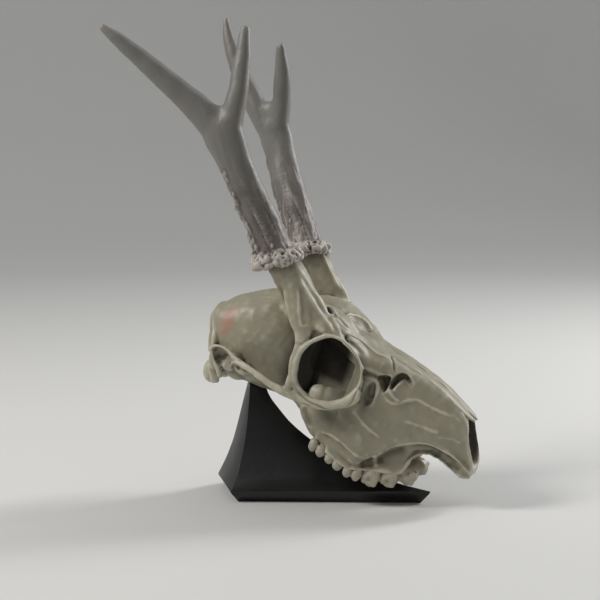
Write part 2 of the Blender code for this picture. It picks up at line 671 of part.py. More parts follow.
def paint(obj):
    kind = "stand" if obj.name.startswith("stand") else "antler" if "antler" in obj.name else "bone"
    mat = bpy.data.materials.new(obj.name + "_" + kind)
    mat.use_nodes = True
    colour, rough, metal = MATERIALS[kind]
    shader = mat.node_tree.nodes["Principled BSDF"]
    shader.inputs["Base Color"].default_value = (*colour, 1)
    shader.inputs["Roughness"].default_value = rough
    shader.inputs["Metallic"].default_value = metal
    obj.data.materials.clear()
    obj.data.materials.append(mat)


def main():
    for obj in list(bpy.data.objects):
        bpy.data.objects.remove(obj)
    made = bones() + [pedestal()]
    for name, side in SIDES.items():
        made += antler(name, side)
    for obj in made:
        obj.data.transform(skull_pose())
        paint(obj)


main()
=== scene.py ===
"""A roe deer skull with its antlers, nose down on a black pedestal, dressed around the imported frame.

Bones and antlers are drawn in the skull's own frame, in millimetres: u runs forward from the
occipital condyles to the snout, v to the animal's left, and w up. A finished piece is tipped
nose down over the pedestal, and then its place is in its mesh, in metres.
"""

import math
import random

import bmesh
import bpy
import numpy as np
from bpy.props import FloatProperty, FloatVectorProperty, IntProperty, PointerProperty
from mathutils import Matrix, Vector


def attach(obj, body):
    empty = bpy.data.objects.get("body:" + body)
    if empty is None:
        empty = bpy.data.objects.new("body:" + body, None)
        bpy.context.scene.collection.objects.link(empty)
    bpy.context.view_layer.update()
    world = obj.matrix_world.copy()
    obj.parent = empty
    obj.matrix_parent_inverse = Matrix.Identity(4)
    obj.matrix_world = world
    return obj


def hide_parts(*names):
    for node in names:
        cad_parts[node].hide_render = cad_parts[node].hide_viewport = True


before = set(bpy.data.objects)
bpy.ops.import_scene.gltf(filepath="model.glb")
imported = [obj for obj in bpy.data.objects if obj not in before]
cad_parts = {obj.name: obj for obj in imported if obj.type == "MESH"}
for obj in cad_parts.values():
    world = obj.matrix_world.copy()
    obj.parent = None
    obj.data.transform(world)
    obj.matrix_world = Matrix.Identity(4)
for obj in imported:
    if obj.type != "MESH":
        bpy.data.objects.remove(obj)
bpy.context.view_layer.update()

bl_info = {
    "name": "Roe deer skull",
    "version": (1, 0, 0),
    "blender": (4, 5, 0),
    "location": "3D View > Sidebar > Skull",
    "description": "Models and finishes a roe deer skull on its pedestal",
    "category": "Add Mesh",
}

MM = 0.001
DOME_STEPS_DEG = (30, 55, 76)
CONDYLE_AT = (-77.0, 0.0, 79.0)
NOSE_DOWN_DEG = 19.0
POSE = Matrix.Translation(Vector(CONDYLE_AT) * MM) @ Matrix.Rotation(math.radians(NOSE_DOWN_DEG), 4, "Y")
SIDES = {"right": -1, "left": 1}


# What a user would change

def millimetres(label, what, default, least, most):
    return FloatProperty(
        name=label, description=what + ", in millimetres", default=default, min=least, max=most,
    )


def paint(label, what, red, green, blue):
    return FloatVectorProperty(
        name=label, description=what, subtype="COLOR", size=4, default=(red, green, blue, 1), min=0, max=1,
    )


class SkullSizes(bpy.types.PropertyGroup):
    grain: millimetres("Bone mesh", "Edge length of the bone's mesh", 0.78, 0.5, 2.0)
    antler_grain: millimetres("Antler mesh", "Edge length of the antlers' mesh", 0.62, 0.4, 2.0)
    tooth_grain: millimetres("Tooth mesh", "Edge length of the teeth's mesh", 0.42, 0.3, 1.0)
    nasal_grain: millimetres("Nasal mesh", "Edge length of the nasal bones' mesh", 0.45, 0.3, 1.0)
    pearls: IntProperty(name="Pearls", description="Pearls tried on each antler", default=200, min=0, max=600)
    seed: IntProperty(name="Seed", description="Start of every random draw", default=11, min=0)


class SkullColours(bpy.types.PropertyGroup):
    bone: paint("Bone", "Bone on its open faces", 0.29, 0.268, 0.192)
    # hollow is the colour of dirt and of painted shade in creases and sockets, and of the pores
    hollow: paint("Hollows", "Bone in creases and sockets", 0.078, 0.069, 0.045)
    ridge: paint("Ridges", "Bone where handling has worn it pale", 0.50, 0.468, 0.365)
    antler: paint("Antler", "The upper beams", 0.175, 0.168, 0.155)
    antler_foot: paint("Antler foot", "The beams near the burr", 0.135, 0.116, 0.104)
    pearl: paint("Pearls", "Pearls and the burr", 0.47, 0.43, 0.385)
    tooth: paint("Enamel", "The teeth's crowns", 0.36, 0.325, 0.245)
    lacquer: paint("Lacquer", "The pedestal", 0.008, 0.008, 0.009)
    floor: paint("Floor", "The studio floor", 0.66, 0.655, 0.64)


# Curves and outlines

def along(knots, at):
    """A smooth curve through (position, value) knots, held level past its ends."""
    places = [k[0] for k in knots]
    values = [k[1] for k in knots]
    slopes = []
    for i in range(len(knots)):
        a, b = max(i - 1, 0), min(i + 1, len(knots) - 1)
        slopes.append((values[b] - values[a]) / (places[b] - places[a]))
    if at <= places[0]:
        return values[0]
    if at >= places[-1]:
        return values[-1]
    i = max(j for j in range(len(places) - 1) if places[j] <= at)
    span = places[i + 1] - places[i]
    t = (at - places[i]) / span
    return (
        (1 + 2 * t) * (1 - t) ** 2 * values[i]
        + t * (1 - t) ** 2 * span * slopes[i]
        + t * t * (3 - 2 * t) * values[i + 1]
        + t * t * (t - 1) * span * slopes[i + 1]
    )


def smooth_path(stations, count, closed=False):
    """count stations along a Catmull-Rom curve through the given ones, whatever each holds."""
    given = np.array(stations, float)
    n = len(given)
    spans = n if closed else n - 1
    made = []
    for k in range(count):
        s = k * spans / (count if closed else count - 1)
        i = min(int(s), spans - 1)
        t = s - i
        if closed:
            a, b, c, d = (given[(i + j) % n] for j in (-1, 0, 1, 2))
        else:
            a, b, c, d = (given[min(max(i + j, 0), n - 1)] for j in (-1, 0, 1, 2))
        made.append(
            0.5 * (2 * b + (c - a) * t + (2 * a - 5 * b + 4 * c - d) * t * t + (3 * b - a - 3 * c + d) * t**3)
        )
    return made


def oval(u, half_width, top, side, bottom, power=2.3, sides=48):
    """A cross-section at u, widest at height side, and squarer as power grows past 2."""
    ring = []
    for k in range(sides):
        c, s = math.cos(2 * math.pi * k / sides), math.sin(2 * math.pi * k / sides)
        reach = top - side if s > 0 else side - bottom
        ring.append((
            u,
            math.copysign(half_width * abs(c) ** (2 / power), c),
            side + math.copysign(reach * abs(s) ** (2 / power), s),
        ))
    return ring


def tube_rings(stations, across=(0, 1, 0), sides=16, steps=24, closed=False, domed=False):
    """Rings along a smooth path of (u, v, w, half-width, half-thickness along across) stations."""
    path = smooth_path(stations, steps, closed)
    rings = []
    for i, station in enumerate(path):
        before = path[i - 1] if i or closed else station
        after = path[(i + 1) % len(path)] if i + 1 < len(path) or closed else station
        ahead = Vector(after[:3] - before[:3]).normalized()
        broad = ahead.cross(Vector(across)).normalized()
        deep = broad.cross(ahead).normalized()
        turns = [2 * math.pi * k / sides for k in range(sides)]
        centre = Vector(station[:3])
        wide, thick = broad * station[3], deep * station[4]
        rings.append([centre + wide * math.cos(a) + thick * math.sin(a) for a in turns])
    if domed:
        last, round_by = rings[-1], path[-1][3]
        for lift in DOME_STEPS_DEG:
            up, shrink = math.sin(math.radians(lift)), math.cos(math.radians(lift))
            rings.append([centre + (p - centre) * shrink + ahead * round_by * up for p in last])
    return rings


# Blender's own tools, as a modeller uses them

def alone(piece=None):
    """Deselects everything, then picks the one piece."""
    bpy.ops.object.select_all(action="DESELECT")
    if piece:
        piece.select_set(True)
        bpy.context.view_layer.objects.active = piece
    return piece


def coordinates(piece):
    flat = np.empty(len(piece.data.vertices) * 3, np.float32)
    piece.data.vertices.foreach_get("co", flat)
    return flat.reshape(-1, 3).astype(float)


def put(piece, places):
    piece.data.vertices.foreach_set("co", np.asarray(places, np.float32).ravel())
    piece.data.update()


def face_outwards(piece):
    alone(piece)
    bpy.ops.object.mode_set(mode="EDIT")
    bpy.ops.mesh.select_all(action="SELECT")
    bpy.ops.mesh.normals_make_consistent(inside=False)
    bpy.ops.object.mode_set(mode="OBJECT")
    return piece


def skin(name, rings):
    """Extrudes a filled circle once for each further ring, then brings every level to its ring."""
    sides = len(rings[0])
    alone()
    bpy.ops.mesh.primitive_circle_add(vertices=sides, radius=1, fill_type="NGON")
    made = bpy.context.object
    made.name = name
    bpy.ops.object.mode_set(mode="EDIT")
    bpy.ops.mesh.select_all(action="SELECT")
    for _ in rings[1:]:
        bpy.ops.mesh.extrude_region_move(TRANSFORM_OT_translate={"value": (0, 0, 1)})
    bpy.ops.object.mode_set(mode="OBJECT")
    at = coordinates(made)
    turn = np.arctan2(at[:, 1], at[:, 0])
    place = np.rint((turn - turn[0]) / (2 * math.pi) * sides).astype(int) % sides
    level = np.rint(at[:, 2]).astype(int)
    put(made, np.array([[tuple(p) for p in ring] for ring in rings])[level, place] * MM)
    return face_outwards(made)


def hoop(name, rings):
    """A torus brought to rings that close on themselves."""
    around, sides = len(rings), len(rings[0])
    alone()
    bpy.ops.mesh.primitive_torus_add(
        major_segments=around, minor_segments=sides, major_radius=1, minor_radius=0.3,
    )
    made = bpy.context.object
    made.name = name
    at = coordinates(made)
    level = np.rint(np.arctan2(at[:, 1], at[:, 0]) / (2 * math.pi) * around).astype(int) % around
    out = np.hypot(at[:, 0], at[:, 1]) - 1
    place = np.rint(np.arctan2(at[:, 2], out) / (2 * math.pi) * sides).astype(int) % sides
    put(made, np.array([[tuple(p) for p in ring] for ring in rings])[level, place] * MM)
    return face_outwards(made)


def bar(name, stations, across=(0, 1, 0), sides=16, steps=24, domed=False):
    return skin(name, tube_rings(stations, across, sides, steps, domed=domed))


def lump(name, centre, radii, turn=(0, 0, 0), detail=4):
    """An ellipsoid, its radii turned by turn degrees about u, v and w."""
    alone()
    bpy.ops.mesh.primitive_ico_sphere_add(
        subdivisions=detail, radius=MM, location=Vector(centre) * MM,
        rotation=[math.radians(a) for a in turn], scale=radii,
    )
    made = bpy.context.object
    made.name = name
    bpy.ops.object.transform_apply(location=True, rotation=True, scale=True)
    return made


def block(name, low, high):
    """A box between two corners."""
    alone()
    low, high = Vector(low) * MM, Vector(high) * MM
    bpy.ops.mesh.primitive_cube_add(size=1, location=(low + high) / 2, scale=high - low)
    bpy.context.object.name = name
    bpy.ops.object.transform_apply(location=True, rotation=True, scale=True)
    return bpy.context.object


def modify(piece, kind, **settings):
    """Adds a modifier and applies it."""
    alone(piece)
    modifier = piece.modifiers.new(kind.title(), kind)
    for key, value in settings.items():
        setattr(modifier, key, value)
    bpy.ops.object.modifier_apply(modifier=modifier.name)
    return piece


def join(name, pieces):
    alone(pieces[0])
    for piece in pieces:
        piece.select_set(True)
    bpy.ops.object.join()
    pieces[0].name = name
    pieces[0].data.name = name
    return pieces[0]


def both_sides(piece):
    """Adds the piece's mirror image on the animal's other side."""
    return modify(piece, "MIRROR", use_axis=(False, True, False), use_mirror_merge=False)


def cut_away(piece, cutters):
    for cutter in cutters:
        modify(piece, "BOOLEAN", operation="DIFFERENCE", object=cutter, solver="EXACT")
    return piece


def drop(pieces):
    for piece in pieces:
        bpy.data.objects.remove(piece)


def fuse(piece, grain, rounds):
    """One skin over overlapping solids, softened, and only its largest closed surface."""
    modify(piece, "REMESH", mode="VOXEL", voxel_size=grain * MM)
    modify(piece, "SMOOTH", factor=0.5, iterations=rounds)
    return largest(piece)


def largest(piece):
    work = bmesh.new()
    work.from_mesh(piece.data)
    left, islands = set(work.verts), []
    while left:
        island, front = set(), [left.pop()]
        while front:
            vert = front.pop()
            island.add(vert)
            for edge in vert.link_edges:
                other = edge.other_vert(vert)
                if other in left:
                    left.discard(other)
                    front.append(other)
        islands.append(island)
    islands.sort(key=len)
    for island in islands[:-1]:
        bmesh.ops.delete(work, geom=list(island), context="VERTS")
    work.to_mesh(piece.data)
    work.free()
    return piece


def settle(piece, replaced):
    """Tips a finished piece over the pedestal, and ties it to the frame."""
    piece.data.transform(POSE)
    alone(piece)
    bpy.ops.object.shade_smooth()
    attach(piece, "root")
    if replaced:
        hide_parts(*replaced)


# Sculpting: a piece's vertices as an array

def on_side(place, side):
    """A place on the animal's left, brought to the right where side is -1."""
    return np.array(place) * (1, side, 1)


def store(piece, name, values):
    """Keeps one number for each vertex, for the materials to read."""
    layer = piece.data.attributes.new(name, "FLOAT", "POINT")
    layer.data.foreach_set("value", values.astype(np.float32))


def smoothstep(value):
    value = np.clip(value, 0, 1)
    return value * value * (3 - 2 * value)


class Clay:
    """A mesh in skull millimetres, with strokes that raise, press and stain it, and paint shade into it."""

    def __init__(self, piece):
        self.piece = piece
        self.at = coordinates(piece) / MM
        self.stain_and_shade = np.zeros(len(self.at))
        edges = np.empty(len(piece.data.edges) * 2, np.int32)
        piece.data.edges.foreach_get("vertices", edges)
        self.edges = edges.reshape(-1, 2)
        self.links = np.bincount(edges, minlength=len(self.at))
        self.refresh()

    def refresh(self):
        """Writes the places back, and reads the normals of the new shape."""
        put(self.piece, self.at * MM)
        flat = np.empty(len(self.at) * 3, np.float32)
        self.piece.data.vertices.foreach_get("normal", flat)
        self.normal = flat.reshape(-1, 3).astype(float)

    def near(self, path, reach):
        """The vertices within reach of a path, their distance to it, and how far along it they are."""
        low, high = path.min(0) - reach, path.max(0) + reach
        some = np.nonzero(((self.at > low) & (self.at < high)).all(1))[0]
        best, where = np.full(len(some), 1e9), np.zeros(len(some))
        steps = np.linalg.norm(np.diff(path, axis=0), axis=1)
        starts = np.concatenate([[0], np.cumsum(steps)])
        for a, b, start, length in zip(path, path[1:], starts, steps):
            t = np.clip((self.at[some] - a) @ (b - a) / max(length**2, 1e-9), 0, 1)
            gap = np.linalg.norm(self.at[some] - a - t[:, None] * (b - a), axis=1)
            closer = gap < best
            best[closer] = gap[closer]
            where[closer] = (start + t * length)[closer] / starts[-1]
        inside = best < reach
        return some[inside], best[inside], where[inside]

    def stroke(self, points, width, height, stain_and_shade=0.0, lee=None, fade=0.22):
        """Raises the surface along a path by height, or presses it in, with soft flanks and ends.

        lee is (way, width, depth) of a hollow that follows the path on the side that way points to."""
        for side in (1, -1) if max(abs(p[1]) for p in points) > 0.5 else (1,):
            path = self.cling(smooth_path([(u, side * v, w) for u, v, w in points], 6 * len(points)))
            if lee:
                way, wide, depth = lee
                hollow = path + on_side(way, side) * 0.9 * wide
                some, shape = self.along_path(hollow, wide, fade)
                self.at[some] -= self.normal[some] * (depth * shape)[:, None]
            some, shape = self.along_path(path, width, fade)
            self.at[some] += self.normal[some] * (height * shape)[:, None]
            self.stain_and_shade[some] = np.maximum(self.stain_and_shade[some], stain_and_shade * shape)

    def along_path(self, path, width, fade):
        """The vertices under a stroke and its strength there: 1 in its middle, soft at sides and ends."""
        some, gap, where = self.near(path, 2.6 * width)
        return some, np.exp(-(gap / width) ** 2) * smoothstep(where / fade) * smoothstep((1 - where) / fade)

    def cling(self, path, reach=8):
        """The path, brought to the nearest places on the surface and evened out."""
        path = np.array(path)
        some = self.at[((self.at > path.min(0) - reach) & (self.at < path.max(0) + reach)).all(1)]
        if len(some):
            path = np.array([some[((some - place) ** 2).sum(1).argmin()] for place in path])
        for _ in range(3):
            path[1:-1] = (path[:-2] + 2 * path[1:-1] + path[2:]) / 4
        return path

    def dent(self, centre, radii, depth, stain_and_shade=0.0, sides=(1, -1)):
        """A round hollow, or a swelling where depth is negative."""
        for side in sides:
            away = (self.at - on_side(centre, side)) / np.array(radii)
            shape = np.exp(-(away**2).sum(1))
            self.at -= self.normal * (depth * shape)[:, None]
            self.stain_and_shade = np.maximum(self.stain_and_shade, stain_and_shade * shape)

    def soothe(self, centre, radii, rounds, sides=(1, -1)):
        """Smooths away creases inside a soft-edged ellipsoid, without thinning what lies there."""
        soft = self.averaged(self.at, rounds)
        soft = 2 * soft - self.averaged(soft, rounds)
        for side in sides:
            away = (self.at - on_side(centre, side)) / np.array(radii)
            amount = smoothstep(1.6 - 1.2 * np.linalg.norm(away, axis=1))
            self.at += (soft - self.at) * amount[:, None]
        self.refresh()

    def averaged(self, values, rounds):
        """values, spread over the mesh's edges."""
        one, two = self.edges.T
        for _ in range(rounds):
            total = np.stack([
                np.bincount(one, values[two, k], len(values)) + np.bincount(two, values[one, k], len(values))
                for k in range(values.shape[1])
            ], 1)
            values = 0.5 * values + 0.5 * total / self.links[:, None]
        return values

    def relief(self, rounds, depth):
        """1 in a crease, 0 on a ridge and a half where the surface is even."""
        lower = ((self.averaged(self.at, rounds) - self.at) * self.normal).sum(1)
        return np.clip(0.5 + lower / depth / 2, 0, 1)

    def finish(self, fine=(6, 0.25), wide=(60, 1.6)):
        """Stores what the materials read."""
        self.refresh()
        store(self.piece, "fine_relief", self.relief(*fine))
        store(self.piece, "wide_relief", self.relief(*wide))
        store(self.piece, "stain_and_shade", self.stain_and_shade)


# The cranium's driving outlines, as (u, value) knots in skull millimetres

VAULT_AT = (-10, -9, -7, -4, 0, 7, 14, 22, 30, 38, 46, 54, 62, 70)
VAULT_TOP = [(-10, 44), (-8, 48), (-4, 52.5), (2, 58), (10, 63.5), (20, 69), (30, 72), (50, 73), (70, 66)]
VAULT_SIDE = [(-10, 40), (-4, 38), (14, 38), (38, 38), (70, 36)]
VAULT_BASE = [(-10, 36), (-8, 26), (-4, 14), (4, 8), (14, 6), (38, 7), (55, 10), (70, 13)]
VAULT_WIDTH = [(-10, 15), (-8, 19), (-4, 24), (4, 27.5), (14, 30), (26, 31), (38, 30), (50, 26), (62, 19),
               (70, 15)]

BROW_TOP = [(22, 70), (36, 74), (48, 77), (60, 79), (72, 78.5), (84, 73.5), (94, 68), (103, 64), (112, 61)]
BROW_SIDE = [(22, 62), (36, 64), (48, 66), (60, 66), (72, 65), (84, 62), (94, 56), (103, 50.5), (112, 47)]
BROW_BASE = [(22, 54), (48, 54), (72, 54), (94, 47), (112, 38)]
BROW_AT = (22, 29, 36, 42, 48, 54, 60, 66, 72, 78, 84, 90, 96, 102, 108, 112)
BROW_WIDTH = [(22, 14), (36, 21), (48, 29), (60, 35.5), (72, 36.5), (84, 34.5), (94, 31.5), (103, 28),
              (112, 25)]

WALL_WIDTH = [(48, 14), (60, 11), (75, 10), (90, 12), (104, 18)]
WALL_BASE = [(48, 8), (75, 11), (90, 8), (104, 4)]

MUZZLE_AT = (
    98, 101, 104, 107, 110, 113, 116, 119, 122, 125, 128, 131, 134, 137, 140, 143, 146, 148, 149.3, 150,
    150.7, 151.4, 152.2, 153.2, 155, 158, 162, 167, 172, 176, 180, 184, 187, 190,
)
NASAL_TOP = [(98, 66), (106, 63.6), (112, 62.6), (122, 60.8), (132, 58.8), (142, 56.2), (152, 53.2),
             (160, 50), (168, 46.3), (176, 42.2), (183, 39)]
SNOUT_TIP = [(174, 42.2), (178, 38.5), (184, 26), (190, 13)]
NASAL_WIDTH = [(98, 15), (114, 14), (132, 12.5), (152, 11.5), (168, 10.5), (183, 8.5)]
CHEEK_TOP_WIDTH = [(98, 26), (106, 24), (114, 22), (122, 20), (132, 17.8), (142, 16), (152, 15),
                   (168, 13.8), (190, 11)]
CHEEK_TOP_HEIGHT = [(98, 55), (114, 53), (132, 50), (152, 44), (168, 38), (176, 34), (184, 24), (190, 12)]
CHEEK_WIDTH = [(98, 31), (106, 31.5), (114, 31), (122, 29), (132, 26.5), (142, 23.5), (152, 20.5),
               (168, 16.3), (190, 10)]
CHEEK_HEIGHT = [(98, 30), (106, 25), (122, 21), (142, 21), (160, 24), (176, 20), (184, 14), (190, 8)]
RIDGE_WIDTH = [(98, 30), (118, 30), (124, 28.5), (133, 27), (141, 24.8), (149, 22), (158, 19.5),
               (167, 17.5), (178, 16), (190, 11)]
RIDGE_HEIGHT = [(98, 2), (112, -6), (120, -8.5), (127, -4.5), (133, 0.5), (141, 7.5), (149, 12.6), (158, 16),
                (167, 16.8), (178, 15), (190, 8)]
GUM_WIDTH = [(98, 29), (118, 28.5), (132, 26), (144, 23.5), (152, 19.5), (160, 15.5), (172, 14), (184, 13),
             (190, 9)]
GUM_HEIGHT = [(84, -8), (94, -11), (105, -14.5), (115, -17), (122, -15.5), (131, -12.5), (142, -9.9),
              (147, -8.8), (149.6, -7), (150.8, -1.5), (152, 3.2), (154, 6.6), (158, 8.9), (163, 9.4),
              (170, 8.2), (178, 5), (183, 3), (190, 3)]
RECESS = [(118, 1.2), (128, 2.6), (140, 3.6), (150, 3.4), (160, 3), (172, 2.6), (186, 1.2)]
PALATE_HEIGHT = [(98, 0), (106, -4), (118, -6), (132, -3), (145, 1), (154, 6), (160, 9), (168, 10),
                 (178, 7), (190, 5)]

# Outline of the eye's opening, as (u, w, v), and how deep it goes: each level's v, how far it keeps to the
# outline, its scale, and how far its front edge falls back

ORBIT_CENTRE = (87.0, 43.0)
ORBIT_RIM = [(78.3, 62, 36.3), (84.5, 62.8, 34.5), (89.8, 60.8, 32.9), (95.4, 57.4, 31.2),
             (99.8, 53.9, 30.3), (103.3, 49.5, 30), (104.8, 43.8, 30.3), (104.9, 37.8, 31.2),
             (103.3, 31.7, 32.7), (99.1, 26.8, 34.4), (94, 23.2, 36.2), (87.2, 21.8, 38.1),
             (81.1, 22.4, 39.7), (75.7, 24.6, 40.8), (71.3, 27.8, 41.6), (68.4, 33.2, 42),
             (67.2, 39.6, 41.9), (66.9, 44.9, 41.4), (67.8, 49.6, 40.6), (70, 54.2, 39.5), (73.8, 58.6, 38)]
ORBIT_LEVELS = [(52, 0, 1.06, 0), (36, 1, 1, 0), (31, 0.6, 1, 0.5), (27, 0.3, 0.99, 2.5),
                (23.5, 0, 0.95, 6), (20, 0, 0.88, 9), (17, 0, 0.78, 11), (14.6, 0, 0.62, 11),
                (13.2, 0, 0.35, 7)]
RIM_BAND = [(-180, 2.2), (-135, 2.5), (-100, 1.9), (-60, 1.9), (-25, 2.1), (0, 1.6), (25, 1.2), (60, 1.0),
            (110, 1.0), (140, 1.4), (165, 2.0), (180, 2.2)]

# The flat seat on the pedestal: its height, the gap under it, and the block that is cut away for it

STAND_TOP_W = 4.6
GAP = 0.3
REST_LOW, REST_HIGH = (22, -11, -40), (40, 11, STAND_TOP_W)

# The nose's opening: centre and radii

NOSE_HOLE = ((186, 0, 25.5), (34, 11, 14.5))

# Bars and knobs on both sides: (u, v, w, half-width, half-thickness) stations

POSTORBITAL_BAR = [(65, 41, 21, 3.2, 2.7), (65.5, 41.3, 30, 3.3, 2.7), (63.5, 40.6, 39, 3.4, 2.7),
                   (63, 39.2, 47, 3.4, 2.7), (62.5, 37.4, 54, 4.4, 2.8), (59, 33, 63, 6.5, 3)]
BROW_BAR = [(44, 33.5, 82, 7, 3), (50, 34.2, 75, 7.5, 3.4), (56, 35.2, 67.5, 8, 3.4),
            (61, 36.5, 60.5, 6.5, 3), (63, 38.5, 53, 4.4, 2.8)]
CHEEK_ARCH = [(21, 28, 21.5, 4.5, 3.6), (26, 34, 23, 3.2, 2.6), (33, 38, 23.4, 2.5, 2.3),
              (42, 40, 22.4, 2.5, 2.2), (51, 41.2, 20.5, 2.5, 2.2), (60, 42, 19.2, 2.8, 2.4),
              (70, 42, 19.6, 3.2, 2.6), (80, 41.3, 19.4, 3.1, 2.8), (89, 40, 20, 3.1, 3),
              (97, 38, 22.8, 3.2, 3.2), (104, 35.2, 28.4, 3.8, 3.4), (109, 31.5, 36, 4.5, 3.5)]
PEDICLE = [(21.5, 27, 101.5, 10.8, 10), (26, 27, 98, 10.8, 10), (33, 27, 92.6, 10.8, 9.8),
           (41.4, 27, 85.3, 11, 9.6), (50.6, 26.5, 77, 11.6, 9.4), (61.5, 26, 67.5, 12, 9),
           (72, 26, 58, 12, 8.5)]
CHEEK_ROOT = [(108, 21, 5, 20, 10), (98, 20.5, 8, 19.5, 9.5), (90, 19.5, 9.5, 19, 8.6),
              (83, 18.2, 9, 16.5, 7.6), (77, 17, 9.5, 10.5, 6), (71, 15.5, 11, 6, 4.4),
              (62, 12.5, 12, 4, 3)]
NUCHAL_CREST = [(4, -28, 22, 2, 2), (1, -26.6, 32, 2, 2), (-5, -19.5, 42, 2, 2), (-8, -9, 46, 2, 2),
                (-8.6, 0, 46.5, 2, 2), (-8, 9, 46, 2, 2), (-5, 19.5, 42, 2, 2), (1, 26.6, 32, 2, 2),
                (4, 28, 22, 2, 2)]
BASIOCCIPITAL = [(0, 0, 8, 6, 11), (20, 0, 9, 6, 11), (45, 0, 10, 6, 9), (75, 0, 15, 6, 8)]
PARACONDYLAR = [(6, 22, 17, 6, 5), (8, 23.5, 8, 4.6, 3.4), (11, 24, 0, 3, 2.2)]
EAR_TUBE = [(17, 22, 16, 5, 5), (18, 30, 18.5, 5, 5)]
EAR_CREST = [(2, 29.5, 21, 1.5, 1.6), (4.5, 31, 25.5, 1.4, 1.6), (10, 31.6, 27.6, 1.3, 1.6),
             (16, 32.4, 26.8, 1.4, 1.6), (22, 33.6, 24.6, 1.8, 1.8), (28, 36, 24, 1.8, 1.8)]
EAR_POST = [(4, 30.5, 22, 1.4, 1.4), (8, 31, 17, 1.5, 1.5), (12, 30.5, 12.5, 1.8, 1.6),
            (14.5, 28.5, 7, 1.8, 1.6)]
EAR_HOOK = [(20, 30, 15.5, 1.1, 1.4), (20.4, 32, 19, 1, 1.3), (22, 34, 21.8, 1, 1.4), (25, 36, 23, 1.2, 1.6),
            (30, 37, 23.4, 1.6, 1.8)]
PTERYGOID = [(48, 9, 13, 4, 1.8), (60, 10, 12, 5, 1.8), (70, 11, 9, 6.5, 1.8), (81, 12, 4, 8, 1.8)]
NASAL_BONE = [(108, 5.2, 60.8, 1.2, 4.2), (116, 5.6, 60.3, 1.5, 5.6), (132, 5.3, 57.2, 1.5, 5.3),
              (152, 5, 51.6, 1.5, 5), (166, 4.6, 45.6, 1.3, 4.5), (174, 4.2, 42, 1.1, 3.6),
              (180, 3, 39.4, 0.9, 1.2)]
NASAL_SUTURE = [(103, 0, 65.5), (120, 0, 62), (140, 0, 57), (160, 0, 50), (178, 0, 42)]
